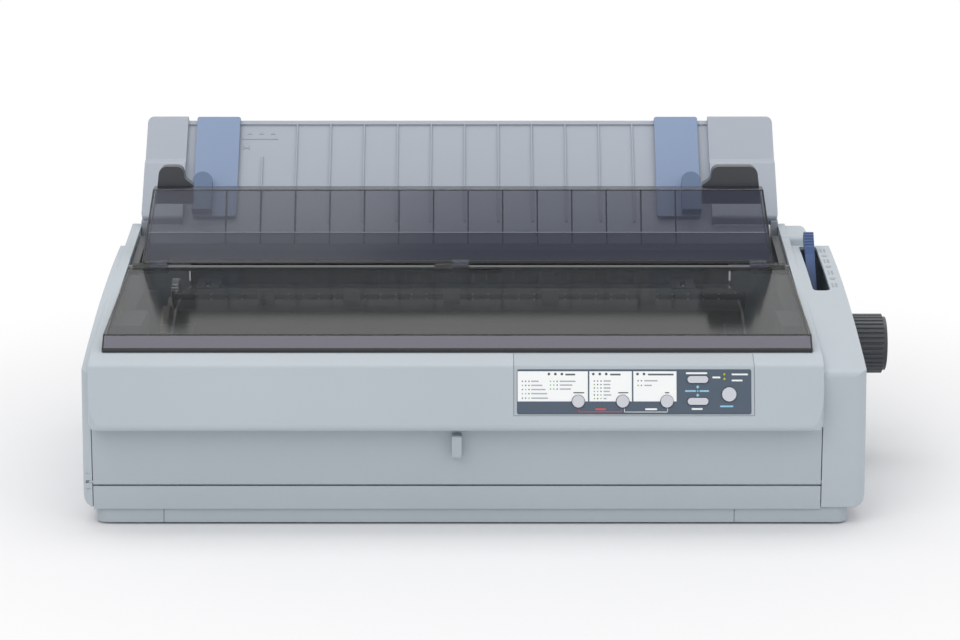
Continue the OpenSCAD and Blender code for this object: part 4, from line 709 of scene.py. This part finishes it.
def shield_rims():
    """The dark edges round the shield, the ribs behind its face, and a pale painted highlight along the fold
    across it.
    """
    low, high = ([value / MM for value in corner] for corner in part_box("paper_shield"))
    hinge = joint_place("shield_hinge")
    along = Vector((0, math.sin(SHIELD_LEAN), math.cos(SHIELD_LEAN)))
    out = Vector((0, -along.z, along.y))
    foot = Vector((0, hinge[1] + SHIELD_FOOT, hinge[2] + SHIELD_FOOT))
    reach = (high[2] - foot.z) / along.z

    def point(x, s):
        return Vector((x, 0, 0)) + foot + along * s
    left, right = low[0], high[0]
    dark = bmesh.new()
    ridge(dark, point(left + 0.7, 0), point(left + 8.1, reach - 1), 1.3, 2 * EDGE_LIFT, (1, 0, 0), out)
    ridge(dark, point(right - 0.7, 0), point(right - 7.6, reach - 1), 1.3, 2 * EDGE_LIFT, (1, 0, 0), out)
    ridge(dark, point(left + 2, 1.2), point(right - 2, 1.2), 2.4, 2 * EDGE_LIFT, along, out)
    ridge(dark, point(left + 8.1, reach - 1.2), point(right - 7.6, reach - 1.2), 0.9, 2 * EDGE_LIFT, along,
          out)
    add_piece("shield_edges", dark, "shield", RIM)
    pale = bmesh.new()
    # a thin pale bar across the shield: the painted highlight along its fold
    ridge(pale, point(left + 6, 26.5), point(right - 6, 26.5), 0.7, 2 * EDGE_LIFT, along, out)
    add_piece("shield_fold_highlight", pale, "shield", GLINT)
    rib_pitch, rib_long, rib_count, ribs_middle, rib_height = 28.65, 46, 14, -38.85, 40.5
    first = point(ribs_middle - (rib_count - 1) / 2 * rib_pitch, rib_height) - out * (SHIELD_WALL + 0.5)
    add_rows("shield_ribs", [(rib_count, first, (rib_pitch, 0, 0), (1.1, 0.9, rib_long),
                              (-SHIELD_LEAN, 0, 0), 1, (1, 1, 1))], "shield", RIM)


def dark_mouth_strips():
    """Dark rubber strips and a bar across the inside of the rear wall's paper mouth, which make the mouth
    dark.
    """
    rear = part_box("upper_case")[1][1] / MM
    pitch, count, first = 11.6, 40, -258.4
    holder = (first + (count - 1) * pitch / 2, rear - 6.0, 134.0)
    add_rows("dark_mouth_strips", [
        (count, (first, rear - 8.0, 126.0), (pitch, 0, 0), (pitch - 0.1, 1.0, 15.0), (0, 0, 0), 1,
         (1, 1, 1)),
        (1, holder, (1, 0, 0), (count * pitch, 5.9, 2.4), (0, 0, 0), 1, (1, 1, 1)),
    ], "chassis", FINISHES["rubber"])


# The scale along the bail: two rows of pale ticks, which stop at the rollers
TICK_PITCH = 12.65
TICK_SPAN = (-261.0, 182.0)
TICK_ROWS = (1.9, -1.4)
BAIL_BAR_R = 2.5
ROLLER_ROOM = 8.5


def bail_scale():
    _, bar_y, bar_z = joint_place("bail_roller_spin")
    rollers = sorted(sum(p.x for p in part) / len(part) / MM for part in loose_parts("bail_rollers"))
    stops = [TICK_SPAN[0] - ROLLER_ROOM] + rollers + [TICK_SPAN[1] + ROLLER_ROOM + 1]
    rows = []
    for before, after in zip(stops, stops[1:]):
        first = math.ceil((before + ROLLER_ROOM - TICK_SPAN[0]) / TICK_PITCH)
        last = math.floor((after - ROLLER_ROOM - TICK_SPAN[0]) / TICK_PITCH)
        if last < first:
            continue
        for rise in TICK_ROWS:
            depth = math.sqrt(BAIL_BAR_R ** 2 - rise ** 2) + 0.02
            start = (TICK_SPAN[0] + first * TICK_PITCH, bar_y - depth, bar_z + rise)
            rows.append((last - first + 1, start, (TICK_PITCH, 0, 0), (1.1, 0.3, 1.0), (0, 0, 0), 4,
                         (0.7, 1, 1.8)))
    add_rows("bail_scale", rows, "bail", PRINTS["white"])


def loose_parts(name):
    """The points of each separate solid of a CAD node."""
    bm = bmesh.new()
    bm.from_mesh(nodes[name].data)
    bmesh.ops.remove_doubles(bm, verts=bm.verts, dist=1e-6)
    parts, seen = [], set()
    for start in bm.verts:
        if start in seen:
            continue
        part, edge = [], [start]
        seen.add(start)
        while edge:
            vert = edge.pop()
            part.append(vert.co.copy())
            for link in vert.link_edges:
                other = link.other_vert(vert)
                if other not in seen:
                    seen.add(other)
                    edge.append(other)
        parts.append(part)
    bm.free()
    return parts


# The paper guide's face: x to the right, s up the slope, d into the guide. Its foot lies this far
# in front of the guide's pivot and above it
PIVOT_FRONT, PIVOT_RISE = 2.0, 10.0


def on_guide(x, s, d):
    pivot = joint_place("guide_fold")
    y, z = pivot[1] - PIVOT_FRONT, pivot[2] + PIVOT_RISE
    return (x, y + s * math.sin(GUIDE_LEAN) + d * math.cos(GUIDE_LEAN),
            z + s * math.cos(GUIDE_LEAN) - d * math.sin(GUIDE_LEAN))


def guide_marks():
    """Raised marks beside the left edge guide: a short scale and a sign under it."""
    marks = bmesh.new()
    slab(marks, rounded_bar(-221.6, 87.0, -190.4, 88.8, 0.6), on_guide, 0.25)
    for x in (-214.6, -204.6, -194.6):
        slab(marks, [(x - 2.2, 92.4), (x + 2.2, 92.4), (x, 95.4)], on_guide, 0.25)
    for x in (-219.6, -214.8):
        slab(marks, rounded_bar(x - 0.5, 76.4, x + 0.5, 81.0, 0.4), on_guide, 0.25)
    slab(marks, rounded_bar(-219.0, 78.2, -215.4, 79.2, 0.4), on_guide, 0.25)
    add_piece("guide_marks", marks, "guide", RELIEF)


def slot_marks():
    """A column of raised signs beside the slot of the release lever."""
    skin = nodes["upper_case"].data
    tree = BVHTree.FromPolygons([v.co for v in skin.vertices], [p.vertices for p in skin.polygons])

    def on_shoulder(x, y, d):
        hit = tree.ray_cast(Vector((x * MM, y * MM, 1.0)), Vector((0, 0, -1)))[0]
        return (x, y, hit.z / MM - d)
    marks = bmesh.new()
    for y in (-27, 3, 33, 63):
        slab(marks, rounded_bar(269.4, y - 4.5, 270.8, y + 4.5, 0.6), on_shoulder, 0.3)
        slab(marks, rounded_bar(272.2, y - 4.5, 273.6, y - 0.6, 0.6), on_shoulder, 0.3)
        slab(marks, rounded_bar(272.2, y + 0.8, 273.6, y + 4.5, 0.6), on_shoulder, 0.3)
    for y in (-12, 18, 48):
        slab(marks, arc((271.4, y), 2.4, 0, 340, 17), on_shoulder, 0.3)
    add_piece("lever_signs", marks, "chassis", RELIEF)


bpy.context.scene.view_settings.view_transform = "Standard"
make_camera()
make_world(0.6)
make_lamp("key_softbox", (-1.3, -1.9, 2.2), (0, 0, 0.1), (2.2, 2.2), 24)
make_lamp("fill_softbox", (1.9, -1.5, 1.5), (0, 0, 0.1), (2.0, 2.0), 10)
make_lamp("top_softbox", (0.0, 0.6, 2.6), (0, 0, 0.1), (2.6, 1.6), 24)
make_floor()
dress_nodes()
control_panel_print()
cover_rims()
shield_rims()
dark_mouth_strips()
bail_scale()
guide_marks()
slot_marks()
